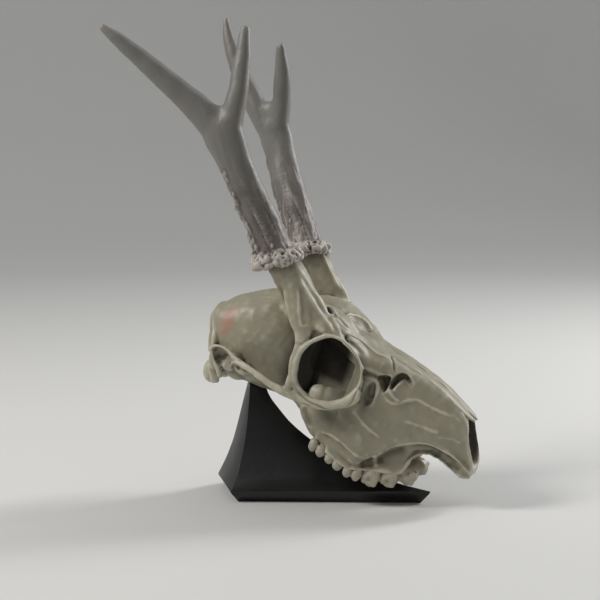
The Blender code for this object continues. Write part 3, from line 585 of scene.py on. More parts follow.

# Strokes on both sides of the finished cranium: path, width, height (pressed in when negative), stain and
# painted
# shade (stain on the sutures, painted shade in pockets, slots and grooves), and the hollow on one side of it:
# which way, its width and its depth

DOWN = (0, 0, -1)
CRANIUM_STROKES = [
    # the forehead's trough between the pedicles
    ([(34, 0, 74), (48, 0, 77), (62, 0, 79), (78, 0, 77), (94, 0, 69), (104, 0, 64)], 12.0, -4.6, 0, None),
    # crest from the orbit's lower rim down the cheek
    ([(107, 31, 23), (111, 31, 21), (115, 31, 18), (121, 30, 15), (126, 29, 13), (132, 28, 11)], 1.5, 0.75,
     0, ((-0.5, 0, -0.85), 4.0, 0.7)),
    # ledge over the molars
    ([(88, 27.5, -1), (91, 28, -1), (96, 29, 0), (103, 30, 0), (108, 30, -1), (115, 30, -4), (121, 29, -5),
      (127, 28.5, -5.5)], 1.5, 0.9, 0, (DOWN, 4.4, 1.5)),
    # arched ridge over the premolars and the toothless gap, its pillar and the pockets under it, darkened
    # with painted shade
    ([(121, 28, -15), (123, 28, -11), (126, 28, -6), (131, 27, -2), (135, 26, 2), (139, 25, 7),
      (144, 24, 11), (152, 21, 15), (159, 19, 17), (167, 17, 16), (175, 16, 15), (182, 14, 13),
      (189, 12, 9)], 1.2, 1.1, 0, (DOWN, 4.2, 2.2)),
    ([(134.5, 25.5, -6.5), (135.5, 25, -3.5), (138, 25, 0), (141, 24.5, 3.5), (145, 23, 7), (150, 21, 9.8)],
     3.4, -1.1, 0.62, None),
    ([(147, 22, 9), (151, 21, 11.4), (158, 17, 13.6), (165, 15, 13.4), (174, 14, 12), (180, 13, 10)], 1.8,
     -0.6, 0.42, None),
    ([(124.5, 27.5, -12.5), (126, 27, -9.5), (129, 26, -6), (130.5, 26, -3)], 2.2, -1.0, 0.45, None),
    ([(132, 27, 0), (132, 26, -5), (133, 25, -9)], 1.4, 1.1, 0, None),
    # the gum's edge along the toothless gap
    ([(150.2, 20, -7.5), (150.8, 20, -2), (152, 19.5, 3.2), (154, 18, 7), (158, 16.5, 9.4), (163, 15.5, 10),
      (171, 14.5, 9), (178, 13.5, 6.5), (184, 12, 4.5)], 1.0, 0.6, 0, None),
    # ridges on the flank of the snout
    ([(116, 25, 42), (120, 25, 39), (125, 25, 36), (129, 24, 35), (133, 22, 36), (135, 21, 38),
      (138, 19, 40), (143, 18, 42), (149, 17, 41), (156, 16, 40), (164, 14.5, 39), (172, 12, 37)], 1.5, 0.8,
     0, (DOWN, 4.2, 0.7)),
    ([(122.5, 24, 44), (126, 23, 40.5), (130, 22, 38), (134, 22, 37)], 1.1, 0.9, 0, None),
    ([(137, 23, 27), (143, 22, 27), (150, 20, 27), (157, 19, 27), (166, 17, 27)], 1.7, 0.55, 0,
     (DOWN, 3.8, 0.4)),
    ([(160, 17, 24), (168, 16, 25), (173, 14, 26), (180, 13, 24)], 1.4, 0.4, 0, None),
    ([(152, 16, 41), (158, 15, 41), (163, 13, 40), (168, 13, 40), (174, 12.5, 37)], 1.3, 0.3, 0, None),
    # the two ridges between pedicle and orbit, and the panel they frame
    ([(48, 36, 86), (51, 36, 80), (53, 36, 76), (55, 35, 71), (58, 35, 66), (60, 37, 63.5),
      (62.5, 37, 64.5), (67, 36, 66)], 1.6, 0.8, 0, ((0.8, 0, 0.6), 3.4, 0.8)),
    ([(44, 33.5, 93), (52, 33.5, 86), (61, 33, 79), (66, 32, 75), (71, 31.5, 72), (76, 32.5, 69),
      (79, 34, 67), (83, 35.5, 65.5)], 1.5, 1.0, 0, ((0.5, -0.7, 0.5), 3.4, 1.1)),
    ([(37, 22.8, 100), (42, 22.8, 96.3), (48, 22.6, 91), (54, 22, 85.5), (60, 21.5, 80.5)], 1.5, 1.1, 0,
     ((0, 1, 0), 4.4, 0.8)),
    # the orbit's upper edge, with a valley outside it
    ([(66, 40.5, 52), (69.5, 39.2, 57), (74, 37.6, 61.5), (79.5, 36, 64.2), (85, 34.6, 64.6),
      (91, 33, 62.4), (96.8, 31.2, 59), (101.5, 30.3, 55.4), (105.4, 30, 51)], 1.0, 0.6, 0, None),
    ([(80, 31, 70), (86, 30.5, 68.5), (92, 29, 65.5), (98, 27, 61.5), (103, 26, 57.5)], 1.8, -0.9, 0.1,
     None),
    ([(73, 26, 74), (77, 28, 71), (81, 30, 69), (86, 31, 66.5)], 1.1, 0.5, 0, None),
    # slot over the orbit, filled with painted shade, and the line that runs on from it
    ([(66, 16.5, 77.5), (68.5, 19.5, 76.5), (71.5, 24, 74.5)], 1.2, -3.2, 1.0, None),
    ([(69, 15, 78), (74, 20, 75.5), (79, 24, 72.5), (84, 24, 70), (88, 20, 69)], 1.1, 0.5, 0, None),
    # the tear bone: raised upper and lower edges, its face a little hollow, and the upright suture
    ([(85, 28, 67.5), (88, 24, 67), (91, 21, 66), (95, 18, 65), (99, 17, 63), (104, 17, 61), (109, 17, 60),
      (113, 15.5, 60), (117, 16, 58)], 1.0, 0.7, 0, ((0, 0.5, -0.85), 4.0, 0.9)),
    ([(87, 27, 67), (88.5, 28.5, 65.5), (91.5, 29, 64)], 1.2, -1.5, 0.5, None),
    ([(115, 10, 62), (117, 13, 60), (120, 16, 57), (122, 18, 55), (124, 19, 53)], 0.75, -0.7, 0.6, None),
    ([(104, 31, 51.5), (108, 27.5, 50.8), (112, 24.5, 50), (116, 23.5, 49.6), (120, 22.5, 50),
      (124, 21, 52)], 1.1, 1.1, 0, (DOWN, 2.2, 1.3)),
    # bridge over the niche
    ([(107, 31, 48), (111, 28, 46.6), (115, 26, 46), (118, 26, 41), (119, 27, 34)], 1.2, 0.8, 0, None),
    # the groove that runs on from the slot, its inner lip, and the arch over the nose's root
    ([(71, 22, 75), (75, 22, 73.5), (80, 22.5, 71.5), (86, 21.5, 69)], 1.8, -1.1, 0.12, None),
    ([(79.5, -3, 76.5), (77.8, 0, 77), (79, 4, 76.4), (82, 9.5, 74.2), (85, 12, 72), (88.5, 13, 70),
      (94, 12.5, 67)], 1.2, 0.75, 0, None),
    ([(82, 0, 75.5), (84, 4, 74), (87, 7.5, 72), (91, 8.5, 69.5), (96, 7.5, 67)], 2.8, -1.4, 0.12, None),
    # forehead: middle suture, and the crown suture behind
    ([(50, 0.2, 76), (60, -0.2, 75), (70, 0.2, 74), (82, -0.1, 71), (94, 0.2, 66), (104, 0, 64)], 0.8, -0.3,
     0.2, None),
    ([(41, 0.6, 72.5), (42.5, 6, 73), (40.5, 12, 72.5), (42, 18, 71)], 0.8, -0.3, 0.25, None),
    # temple line down the back of the pedicle
    ([(34, 34, 84), (38, 34, 79), (41, 32, 73.5), (45, 30, 68), (49, 27, 61), (53, 24, 52)], 2.0, -0.7, 0.5,
     None),
    # groove round the lower half of the orbit's rim
    ([(66.5, 43, 31), (69, 44, 26.5), (74, 44, 22.8), (81, 43, 20.3), (88, 41.5, 19.8), (95, 39.5, 20.6),
      (101.5, 37, 24.5), (106, 34.5, 30.5), (107.6, 33, 37.5), (107.6, 32, 44)], 0.8, -0.65, 0.1, None),
    # behind the molars: a groove darkened with painted shadow
    ([(73, 22, 10), (76, 23, 6.5), (80, 24, 2), (82, 23.5, -2)], 3.2, -0.9, 0.4, None),
    # back of the head
    ([(-9, 4, 44), (-7, 3.5, 34), (-3.5, 3, 24)], 2.2, 0.7, 0, None),
    ([(-6, 13, 38), (-3.5, 17, 30), (0, 19, 22)], 4.0, -1.2, 0.05, None),
]

# Hollows and swellings: centre, radii, depth (a swelling when negative) and the painted shade laid into each
# hollow

CRANIUM_DENTS = [
    ((11, 32, 20.5), (5, 5, 4.2), 3.0, 0.5),       # ear hollow
    ((26, 36, 19), (2.4, 3, 1.8), 1.5, 0.7),       # inside the ear's hook
    ((114, 29, 36), (4.2, 5, 8), 0.3, 0.6),        # the niche
    ((120, 23, 45), (2.8, 5, 4), 0.0, 0.8),        # the tear pit
    ((130, 18, 51), (5.5, 4, 2.6), 0.0, 0.75),     # the snout's window
    # painted shadow under the orbit's rim and under its front edge
    ((91, 28.5, 12.5), (13, 6, 6), 1.2, 0.62),     # under the orbit
    ((103, 32, 18), (7, 6, 5), 1.0, 0.5),          # under the orbit's front edge
    ((113.5, 30.5, 28.5), (3.2, 5, 6), 1.5, 0.4),  # the niche's open foot
    ((109.5, 30, 47.4), (2.8, 4, 2.6), 1.8, 0.5),  # between the rim and the tear bone
    ((61, 35, 72.5), (8, 6, 5), 0.7, 0.0),         # panel under the pedicle
    ((131.5, 20, 45.5), (4.6, 4, 4), 1.0, 0.0),    # sheet inside the snout's window
    ((36, 31, 30), (13, 8, 8), 1.4, 0.08),         # temple
    ((30, 27, 56), (18, 12, 12), -0.5, 0),         # parietal swelling
    ((150, 22, 22), (14, 6, 6), 0.6, 0),           # flank of the snout
    ((106, 31, 10), (10, 6, 6), 0.8, 0),           # cheek over the molars
    ((9, 9, 4), (5, 5, 4), 1.0, 0.2),              # in front of the condyle
]

# Pinkish patches of painted warm light, as a warm lamp would cast on the bone: centre, radii and strength

PAINTED_WARM_LIGHT_PATCHES = [
    ((7.5, 26, 44), (5.5, 9, 12), 1.0), ((40, 33, 75), (2.4, 5, 4.5), 0.5), ((46, 30, 67), (2.2, 5, 5), 0.45),
    ((50.5, 26, 57), (2, 5, 5), 0.35), ((34, 35, 84), (2.5, 5, 6), 0.4),
]

# Places where the blocks' seams are smoothed away: centre, radii and rounds

SOOTHED = [((84, 18, 42), (18, 13, 20), 8), ((54, 33, 73), (17, 9, 15), 30), ((97, 24, 64), (13, 10, 6), 20),
           ((66, 26, 76), (14, 8, 6), 20), ((77, 17, 20), (9, 9, 8), 60), ((77, 22, 5), (6, 6, 9), 20)]


# The cranium

def braincase():
    return skin("braincase", [
        oval(u, along(VAULT_WIDTH, u), along(VAULT_TOP, u), along(VAULT_SIDE, u), along(VAULT_BASE, u), 2.35)
        for u in VAULT_AT
    ])


def brow():
    """The roof over the orbits, which carries the pedicles."""
    return skin("brow", [
        oval(u, along(BROW_WIDTH, u), along(BROW_TOP, u), along(BROW_SIDE, u), along(BROW_BASE, u), 1.85)
        for u in BROW_AT
    ])


def orbit_wall():
    """The narrow wall between the two orbits."""
    return skin("orbit_wall", [
        oval(u, along(WALL_WIDTH, u), 62, 36, along(WALL_BASE, u), 2.6) for u in range(48, 105, 8)
    ])


def muzzle_ring(u):
    """The snout's cross-section: nasal roof, cheeks, gums and the arched palate."""
    roof = along(NASAL_TOP, u) - 0.8
    if u > 174:
        roof = along(SNOUT_TIP, u)
    ridge, gum = along(RIDGE_HEIGHT, u), along(GUM_HEIGHT, u)
    half = [
        (0, roof),
        (along(NASAL_WIDTH, u) * 0.86, roof - 0.6),
        (along(CHEEK_TOP_WIDTH, u), along(CHEEK_TOP_HEIGHT, u)),
        (along(CHEEK_WIDTH, u), along(CHEEK_HEIGHT, u)),
        (along(RIDGE_WIDTH, u), ridge),
        (along(GUM_WIDTH, u) - along(RECESS, u), (ridge + gum) / 2),
        (along(GUM_WIDTH, u) - 1, gum),
        (along(GUM_WIDTH, u) * 0.55, gum + 1.5),
        (0, along(PALATE_HEIGHT, u)),
    ]
    whole = half + [(-v, w) for v, w in half[-2:0:-1]]
    return [(u, v, w) for v, w in smooth_path(whole, 80, closed=True)]


def muzzle():
    return skin("muzzle", [muzzle_ring(u) for u in MUZZLE_AT])


def orbit_rim():
    """The eye opening's raised edge: a band below, and hardly more than a line above."""
    count = 72
    outline = smooth_path([(u, v, w) for u, w, v in ORBIT_RIM], count, closed=True)
    stations = []
    for k, (u, v, w) in enumerate(outline):
        way = outline[(k + 1) % count] - outline[k - 1]
        out = Vector((-way[2], way[0])).normalized()
        if out.dot(Vector((u - ORBIT_CENTRE[0], w - ORBIT_CENTRE[1]))) < 0:
            out = -out
        half = along(RIM_BAND, math.degrees(math.atan2(w - ORBIT_CENTRE[1], u - ORBIT_CENTRE[0])))
        stations.append((u + out.x * half, v, w + out.y * half, half, 1.2 + 0.45 * half))
    return hoop("orbit_rim", tube_rings(stations, steps=count, closed=True))


def orbit_bowl(side):
    """The cutter for one eye socket, whose front wall slants back as it deepens."""
    rings = []
    for level, keep, scale, fall in ORBIT_LEVELS:
        ring = []
        for u, v, w in smooth_path([(u, v, w) for u, w, v in ORBIT_RIM], 64, closed=True):
            ahead = max(0.0, (u - 66) / 39) ** 1.5
            ring.append((
                ORBIT_CENTRE[0] + (u - ORBIT_CENTRE[0]) * scale - fall * ahead,
                side * (level + keep * (v - 36)),
                ORBIT_CENTRE[1] + (w - ORBIT_CENTRE[1]) * scale,
            ))
        rings.append(ring)
    return skin("orbit_bowl", rings)


def well(name, outline, side, levels):
    """A cutter with an outline in (u, w), scaled and shifted at each of its (v, scale, du, dw) levels."""
    outline = [(u, w) for u, w in smooth_path(outline, 32, closed=True)]
    middle = np.mean(outline, 0)
    return skin(name, [
        [(middle[0] + (u - middle[0]) * scale + du, side * v, middle[1] + (w - middle[1]) * scale + dw)
         for u, w in outline]
        for v, scale, du, dw in levels
    ])


def sided_parts():
    """What is fused to the main blocks on each side."""
    return [
        orbit_rim(),
        bar("brow_bar", BROW_BAR),
        bar("postorbital_bar", POSTORBITAL_BAR),
        bar("cheek_arch", CHEEK_ARCH, steps=44),
        bar("pedicle", PEDICLE, sides=28),
        bar("cheek_root", CHEEK_ROOT, sides=28),
        bar("paracondylar", PARACONDYLAR),
        bar("ear_tube", EAR_TUBE, across=(1, 0, 0), steps=6),
        bar("ear_crest", EAR_CREST, steps=20),
        bar("ear_post", EAR_POST, steps=14),
        bar("ear_hook", EAR_HOOK, steps=16),
        bar("pterygoid", PTERYGOID),
        lump("condyle", (1.5, 9.5, 3.5), (6.8, 6, 8.6), turn=(20, -15, 0)),
        lump("bulla", (20, 15, 11), (8, 5.5, 5.5)),
        lump("mastoid", (8, 25, 18), (6.5, 5.5, 10)),
        lump("jaw_joint", (29, 28, 18.5), (7, 8, 3.6)),
        lump("orbit_floor", (82, 19, 18.5), (9.5, 7, 8), turn=(0, 24, 0)),
    ]


# Openings in the cheek and snout: the outline in (u, w), and (v, scale, du, dw) at each level inwards

WELLS = {
    "tear_pit": (
        [(115.4, 47.8), (118.3, 49.4), (121.6, 50.1), (122.5, 47.2), (122.8, 43.1), (122.3, 39.5),
         (119.6, 41.2), (116.8, 44.3)],
        [(40, 1.1, 0, 0), (25.5, 1.05, 0, 0), (22.5, 0.95, 0, 0), (18.5, 0.8, 0, 0), (16, 0.5, 0, 0)],
    ),
    "snout_window": (
        [(124.4, 43), (123.5, 46.4), (124.6, 51), (128.4, 54.4), (133, 54), (136.8, 51.2), (139.8, 47.6),
         (135.4, 49.4), (131.5, 50.2), (129.2, 48.6), (127, 45.4), (126.2, 42.6)],
        [(36, 1.1, 0, 0), (21.5, 1.05, 0, 0), (18.5, 1, -0.6, 0.3), (15, 0.85, -1.2, 0.6),
         (12.5, 0.6, -1.5, 0.8)],
    ),
    "cheek_niche": (
        [(111.5, 29), (110.2, 34), (109.8, 38.7), (110.6, 42.8), (112.6, 45), (115.2, 44.8), (117.2, 42.2),
         (117.8, 37.8), (118.2, 33), (118, 29), (115, 27)],
        [(48, 1.1, 0, 0), (33, 1.02, 0, 0), (30, 0.95, 0, 0.6), (27, 0.82, 0, 1.6), (25, 0.55, 0, 2.4)],
    ),
}


def openings():
    """Cutters for the holes in front of the orbit, and at the skull's back and underside."""
    cutters = [
        lump("skull_gate", (-4, 0, 9), (9, 7.5, 6), detail=3),
        lump("inner_nostril", (80, 0, 3), (16, 6.5, 9), turn=(0, -8, 0), detail=3),
    ]
    for side in SIDES.values():
        cutters += [well(name, outline, side, levels) for name, (outline, levels) in WELLS.items()]
        cutters.append(lump("orbit_depth", (79, side * 18.5, 44), (10.5, 9, 15)))
    return cutters


def cranium(sizes):
    bowls = [orbit_bowl(side) for side in SIDES.values()]
    blocks = [cut_away(solid, bowls) for solid in (braincase(), brow(), muzzle())]
    nose_hole = lump("nose_hole", *NOSE_HOLE, turn=(0, 12, 0))
    cut_away(blocks[2], [nose_hole])
    drop(bowls + [nose_hole])
    middle = [
        orbit_wall(),
        bar("basioccipital", BASIOCCIPITAL),
        bar("nuchal_crest", NUCHAL_CREST, (1, 0, 0), steps=48),
    ]
    sided = both_sides(join("sided", sided_parts()))
    made = join("cranium", blocks + middle + [sided])
    modify(made, "REMESH", mode="VOXEL", voxel_size=sizes.grain * MM)
    cutters = openings() + [block("rest", REST_LOW, REST_HIGH)]
    cut_away(made, cutters)
    drop(cutters)
    fuse(made, sizes.grain, 3)
    clay = Clay(made)
    for centre, radii, rounds in SOOTHED:
        clay.soothe(centre, radii, rounds)
    for stroke in CRANIUM_STROKES:
        clay.stroke(*stroke)
    for centre, radii, depth, stain_and_shade in CRANIUM_DENTS:
        clay.dent(centre, radii, depth, stain_and_shade)
    clay.refresh()
    ripple(clay, random.Random(sizes.seed), ((17.0, 0.35), (7.0, 0.12)))
    shade_sockets(clay)
    clay.finish()
    # the painted warm light, for the bone's material to read
    store(made, "painted_warm_light", painted_warm_light_amount(clay))
    return made


def ripple(clay, chance, waves):
    """Slight unevenness: (wavelength, height) pairs, each a few crossing waves."""
    for length, height in waves:
        total = np.zeros(len(clay.at))
        for _ in range(7):
            way = Vector([chance.gauss(0, 1) for _ in range(3)]).normalized()
            turn = chance.uniform(0, 2 * math.pi)
            bend = Vector([chance.gauss(0, 1) for _ in range(3)]).normalized()
            total += np.sin(clay.at @ np.array(way) * 2 * math.pi / length + turn
                            + 1.4 * np.sin(clay.at @ np.array(bend) * 2 * math.pi / (2.3 * length)))
        clay.at += clay.normal * (height * total / 3.5)[:, None]
    clay.refresh()


def shade_sockets(clay):
    """Paints dark shade deep in the orbits, inside the nose, on the temples and under the burrs, where
    shadows fall.
    """
    u, w = ORBIT_CENTRE
    u_at, v_at, w_at = clay.at.T
    away = np.hypot(u_at - u, w_at - w)
    rim = 36 - 5.6 * (u_at - u) / np.maximum(away, 1) - 2.2 * (w_at - w) / np.maximum(away, 1)
    deep = smoothstep((rim - 0.8 - np.abs(v_at)) / 6) * smoothstep((24 - away) / 3)
    deep *= smoothstep((97 - u_at) / 8) * smoothstep((w_at - 24) / 9) * smoothstep((64 - w_at) / 2)
    temple = smoothstep((u_at - 48) / 11) * smoothstep((76 - u_at) / 3) * smoothstep((37 - np.abs(v_at)) / 4)
    temple *= smoothstep((w_at - 11) / 7) * smoothstep((60 - w_at) / 6)
    inward = np.array(NOSE_HOLE[0]) - clay.at
    inside = smoothstep((np.einsum("ij,ij->i", inward, clay.normal) - 1) / 4) * smoothstep((u_at - 152) / 6)
    inside *= smoothstep((190 - u_at) / 6) * smoothstep((14 - np.abs(v_at)) / 3)
    # painted shadow under each burr, on the top of its pedicle
    for side in (1, -1):
        under = (clay.at - on_side(BURR["centre"], side)) @ np.array(burr_axis(side))
        under = 0.5 * smoothstep((under + 10) / 6) * smoothstep((w_at - 78) / 6) * (v_at * side > 0)
        clay.stain_and_shade = np.maximum(clay.stain_and_shade, under)
    clay.stain_and_shade = np.maximum(clay.stain_and_shade, np.maximum(np.maximum(deep, 0.95 * temple), 0.8 * inside))


def painted_warm_light_amount(clay):
    """How pink each point is from the painted warm light."""
    amount = np.zeros(len(clay.at))
    for centre, radii, strength in PAINTED_WARM_LIGHT_PATCHES:
        for side in (1, -1):
            away = (clay.at - on_side(centre, side)) / np.array(radii)
            amount = np.maximum(amount, strength * smoothstep(1.7 - 1.3 * np.linalg.norm(away, axis=1)))
    return amount


def nasal_bones(sizes):
    """The two thin plates over the nose, side by side."""
    made = both_sides(bar("nasal_bones", NASAL_BONE, sides=24, steps=40))
    modify(made, "REMESH", mode="VOXEL", voxel_size=sizes.nasal_grain * MM)
    modify(made, "SMOOTH", factor=0.5, iterations=3)
    clay = Clay(made)
    clay.stroke(NASAL_SUTURE, 0.8, -0.6, 0.35)
    ripple(clay, random.Random(sizes.seed + 1), ((9.0, 0.12),))
    clay.finish()
    return made


# Cheek teeth: the place of each one's middle along u, and half the length of each of its lobes; then the
# tips' height, how far the crowns stand inside the gum's edge, and the highest that a crown's root goes

TEETH = {
    "P2": (153.0, [5.6]), "P3": (142.8, [5.4]), "P4": (131.6, [5.6]),
    "M1": (119.4, [3.1, 3.0]), "M2": (105.6, [3.4, 3.1]), "M3": (92.2, [3.2, 2.9]),
}
TOOTH_TIP = [(84, -13.5), (91, -16.2), (98, -17.6), (105, -19.6), (115, -22.4), (122, -22.8), (131, -22.9),
             (142, -19.3), (151, -15.2), (158, -11.5)]
TOOTH_INSET = 3.6
GUM_TOP = -5.5


def lobes_along():
    """The middle of each lobe along u, and half its length."""
    for middle, lobes in TEETH.values():
        start = middle + sum(lobes)
        for half in lobes:
            yield start - half, half
            start -= 2 * half


def lobe(u, outer, gum, tip, half):
    """One lobe of a crown: an outer wall with upright ribs, an inner wall and a worn valley between."""
    tall = gum - tip + 3.4
    middle = (gum + tip) / 2 + 1.0
    parts = [
        lump("outer_wall", (u, outer - 0.4, middle), (half + 0.25, 3.3, tall / 2), detail=3),
        lump("inner_wall", (u, outer - 5.6, middle + 0.5), (half + 0.1, 3.5, tall / 2 - 0.2), detail=3),
        lump("valley", (u, outer - 3.0, middle + 2.0), (half, 4.2, tall / 2 - 1.0), detail=3),
    ]
    ribs = ((-0.66, 0.30), (0.66, 0.30)) if half > 4 else ((-0.62, 0.34), (0.5, 0.42))
    for shift, rib in ribs:
        top = (u + shift * half, outer, gum + 1.5, rib * half * 0.9, 1.7)
        low = (u + shift * half * 0.95, outer + 0.5, tip + 2.2, rib * half * 1.15, 1.8)
        parts.append(bar("rib", [top, low], sides=12, steps=5, domed=True))
    return parts


def cheek_teeth(sizes):
    made = []
    for u, half in lobes_along():
        gum, tip = min(along(GUM_HEIGHT, u), GUM_TOP), along(TOOTH_TIP, u)
        made += lobe(u, along(GUM_WIDTH, u) - TOOTH_INSET, gum, tip, half)
    rows = both_sides(join("cheek_teeth", made))
    modify(rows, "REMESH", mode="VOXEL", voxel_size=sizes.tooth_grain * MM)
    modify(rows, "SMOOTH", factor=0.5, iterations=2)
    clay = Clay(rows)
    for u, half in lobes_along():
        outer, tip = along(GUM_WIDTH, u) - TOOTH_INSET, along(TOOTH_TIP, u)
        clay.dent((u, outer - 3.2, tip), (half * 0.6, 0.9, 2.2), 1.6, 0.7)
        if half > 4:
            middle = (along(GUM_HEIGHT, u) + tip) / 2
            clay.dent((u, outer + 3, middle - 1), (half * 0.42, 2.4, 2.4), 1.1, 0.3)
    ripple(clay, random.Random(sizes.seed + 2), ((5.0, 0.10), (2.2, 0.05)))
    clay.finish(fine=(5, 0.2), wide=(30, 0.9))
    return rows


# The antlers: centre line, half-width in the plane of the fork, and half-thickness across it; then how far
# from the burr the tines are taken to start

BEAM = {
    "right": [(27, 27, 94.5, 11.5, 11), (21, 28.5, 102.4, 11.8, 11.2), (14, 31, 112, 11.7, 10.6),
              (6, 35, 122, 11.3, 10), (-4, 41.5, 135, 10.9, 9.4), (-14, 46.5, 148, 11.2, 9),
              (-24, 49.5, 160, 13.2, 8.8), (-32, 49.5, 170, 13.6, 8)],
    "left": [(28, 27, 96.5, 11, 10.6), (21.5, 28.5, 104, 11, 10.6), (13, 32.5, 113.5, 11, 10.2),
             (3, 37, 124, 11.2, 9.8), (-8, 42, 136, 11.1, 9.3), (-18.5, 46.5, 149, 10.8, 8.8),
             (-27, 49, 159.5, 11.6, 8.6), (-34, 49.5, 169, 12, 8)],
}
FRONT_TINE = {
    "right": [(-19.5, 48.5, 152, 8, 8), (-22.6, 49, 160, 8.2, 8), (-24.6, 48, 176, 7.6, 7.4),
              (-26.4, 46, 189.5, 6.7, 6.4), (-29, 44, 200, 6.1, 5.8), (-32.7, 41, 213, 5.2, 4.9),
              (-37.6, 38.2, 228.2, 3.1, 2.8)],
    "left": [(-23, 48.5, 150, 7, 7.4), (-26, 49, 158, 7.8, 7.4), (-27.5, 48.5, 166, 7.8, 7.4),
             (-28.4, 48, 174, 7, 7.2), (-31, 46, 188, 6.4, 6.2), (-34, 43, 201, 5.7, 5.4),
             (-39.8, 38.8, 219.4, 3.0, 2.8)],
}
REAR_TINE = {
    "right": [(-30, 49, 163, 10, 8), (-44, 51, 171.2, 9.6, 7.6), (-60, 54, 178.2, 8, 7),
              (-76, 58, 185, 7, 6.4), (-91, 62, 191.5, 5.8, 5.5), (-105, 66, 197.2, 4.6, 4.4),
              (-117.6, 69.6, 202, 2.4, 2.4)],
    "left": [(-31, 49, 160, 8, 7.6), (-45, 50.5, 171.2, 7.9, 7.3), (-57, 52.5, 181, 7.3, 6.8),
             (-69, 55, 192, 6.4, 6.1), (-80, 57.4, 203.8, 5.2, 5), (-88, 59.4, 213.6, 3.9, 3.8),
             (-93.2, 60.4, 222.6, 2, 2)],
}
BEAM_LENGTH = 88.0

# The web in the fork: centre and radii; then the reach and the rounds of its smoothing

WEB = {"right": ((-36, 48.5, 170.5), (9, 6.8, 8.5)), "left": ((-37.5, 49.3, 173.5), (7, 6.2, 8.5))}
FORK_REACH = (15, 14, 16)
FORK_ROUNDS = (60, 90, 130)

# The burr: its leans in degrees, its ring's radius and its beads' mean radius; the rows of beads, each with
# its height, how far out it stands and its size; and the solids under them, as (height, radius) stations

BURR = {"centre": (26.5, 27, 95.5), "lean": 30, "splay": 7, "ring": 14.4, "bead": 2.7, "count": 30}
BEAD_ROWS = ((0.3, 0.9, 1.0), (2.6, -0.2, 0.95), (-1.8, -0.4, 0.9), (4.8, -1.9, 0.8))
BURR_CORE = ((-1.9, 14.2), (0.6, 14.2), (3.6, 14.2))
BURR_FLARE = ((1, 13.6), (5, 12.4), (9.5, 11), (14.5, 8.6))


def burr_axis(side):
    """Along the antler, out of the pedicle."""
    lean, splay = math.radians(BURR["lean"]), math.radians(BURR["splay"])
    return Vector((-math.sin(lean), side * math.sin(splay), math.cos(lean))).normalized()


def burr_frame(side):
    u, v, w = BURR["centre"]
    axis = burr_axis(side)
    first = axis.cross(Vector((0, 1, 0))).normalized()
    return Vector((u, side * v, w)), axis, first, axis.cross(first)


def burr(side, chance):
    """The knobbly ring round the antler's foot: a core, a flare up the beam and uneven rows of beads."""
    centre, axis, first, second = burr_frame(side)
    parts = [
        bar(name, [(*(centre + axis * up), wide, wide) for up, wide in stations], sides=32, steps=steps)
        for name, stations, steps in (("burr_core", BURR_CORE, 6), ("flare", BURR_FLARE, 10))
    ]
    for row, (lift, reach, size) in enumerate(BEAD_ROWS):
        for k in range(BURR["count"]):
            turn = 2 * math.pi * (k + 0.5 * row + chance.uniform(-0.32, 0.32)) / BURR["count"]
            bead = BURR["bead"] * size * chance.uniform(0.6, 1.15)
            out = first * math.cos(turn) + second * math.sin(turn)
            outward = out * (BURR["ring"] + reach + chance.uniform(-0.9, 0.9))
            place = centre + outward + axis * (lift + chance.uniform(-0.9, 0.9))
            radii = (bead, bead * chance.uniform(0.6, 1.0), bead * chance.uniform(0.8, 1.5))
            turned = [chance.uniform(0, 90) for _ in range(3)]
            parts.append(lump("bead", place, radii, turn=turned, detail=2))
    return parts


# How many vertices are compared with the centre line at a time

CHUNK = 20000


def centre_line(side, name):
    """Points up the beam and both tines, each with its radius and its distance from the burr."""
    rows = []
    for stations, run in ((BEAM[name], 0.0), (FRONT_TINE[name], BEAM_LENGTH), (REAR_TINE[name], BEAM_LENGTH)):
        path = smooth_path(stations, 40)
        for before, here in zip([path[0]] + path, path):
            run += float(np.linalg.norm(here[:3] - before[:3]))
            rows.append((here[0], side * here[1], here[2], here[3], run))
    return np.array(rows)


def grooves(clay, side, name, chance):
    """Furrows that wander along the beam, deep near the burr and gone on the tines. Returns each point's
    distance from the burr."""
    line = centre_line(side, name)
    nearest = np.zeros(len(clay.at), int)
    for start in range(0, len(clay.at), CHUNK):
        some = clay.at[start:start + CHUNK]
        gap = ((some[:, None, :] - line[None, :, :3]) ** 2).sum(2)
        nearest[start:start + CHUNK] = gap.argmin(1)
    run = np.take(line[:, 4], nearest)
    away = clay.at - line[nearest, :3]
    _, _, first, second = burr_frame(side)
    turn = np.arctan2(away @ np.array(second), away @ np.array(first))
    total = np.zeros(len(clay.at))
    for count in (3, 5, 7, 10, 13):
        wander = chance.uniform(0.8, 1.7) * np.sin(run / chance.uniform(14, 30) + chance.uniform(0, 6.28))
        total += np.sin(count * turn + wander * count / 5 + chance.uniform(0, 6.28)) / (0.8 + count / 10)
    furrow = -np.clip(1 - np.abs(total) / 0.7, 0, 1) ** 1.3
    patches = 0.5 + 0.5 * np.sin(run / 7.3 + 3 * turn + 1.7 * np.sin(run / 17 - 2 * turn + side))
    strength = 0.12 + 0.88 * smoothstep((82 - run) / 62)
    strength *= 1 - 0.85 * smoothstep((run - 95) / 40)
    clay.at += clay.normal * ((0.5 * furrow * (0.35 + 0.65 * patches) + 0.16 * total) * strength)[:, None]
    clay.stain_and_shade = np.maximum(clay.stain_and_shade, -furrow * strength * patches * 0.45)
    return run


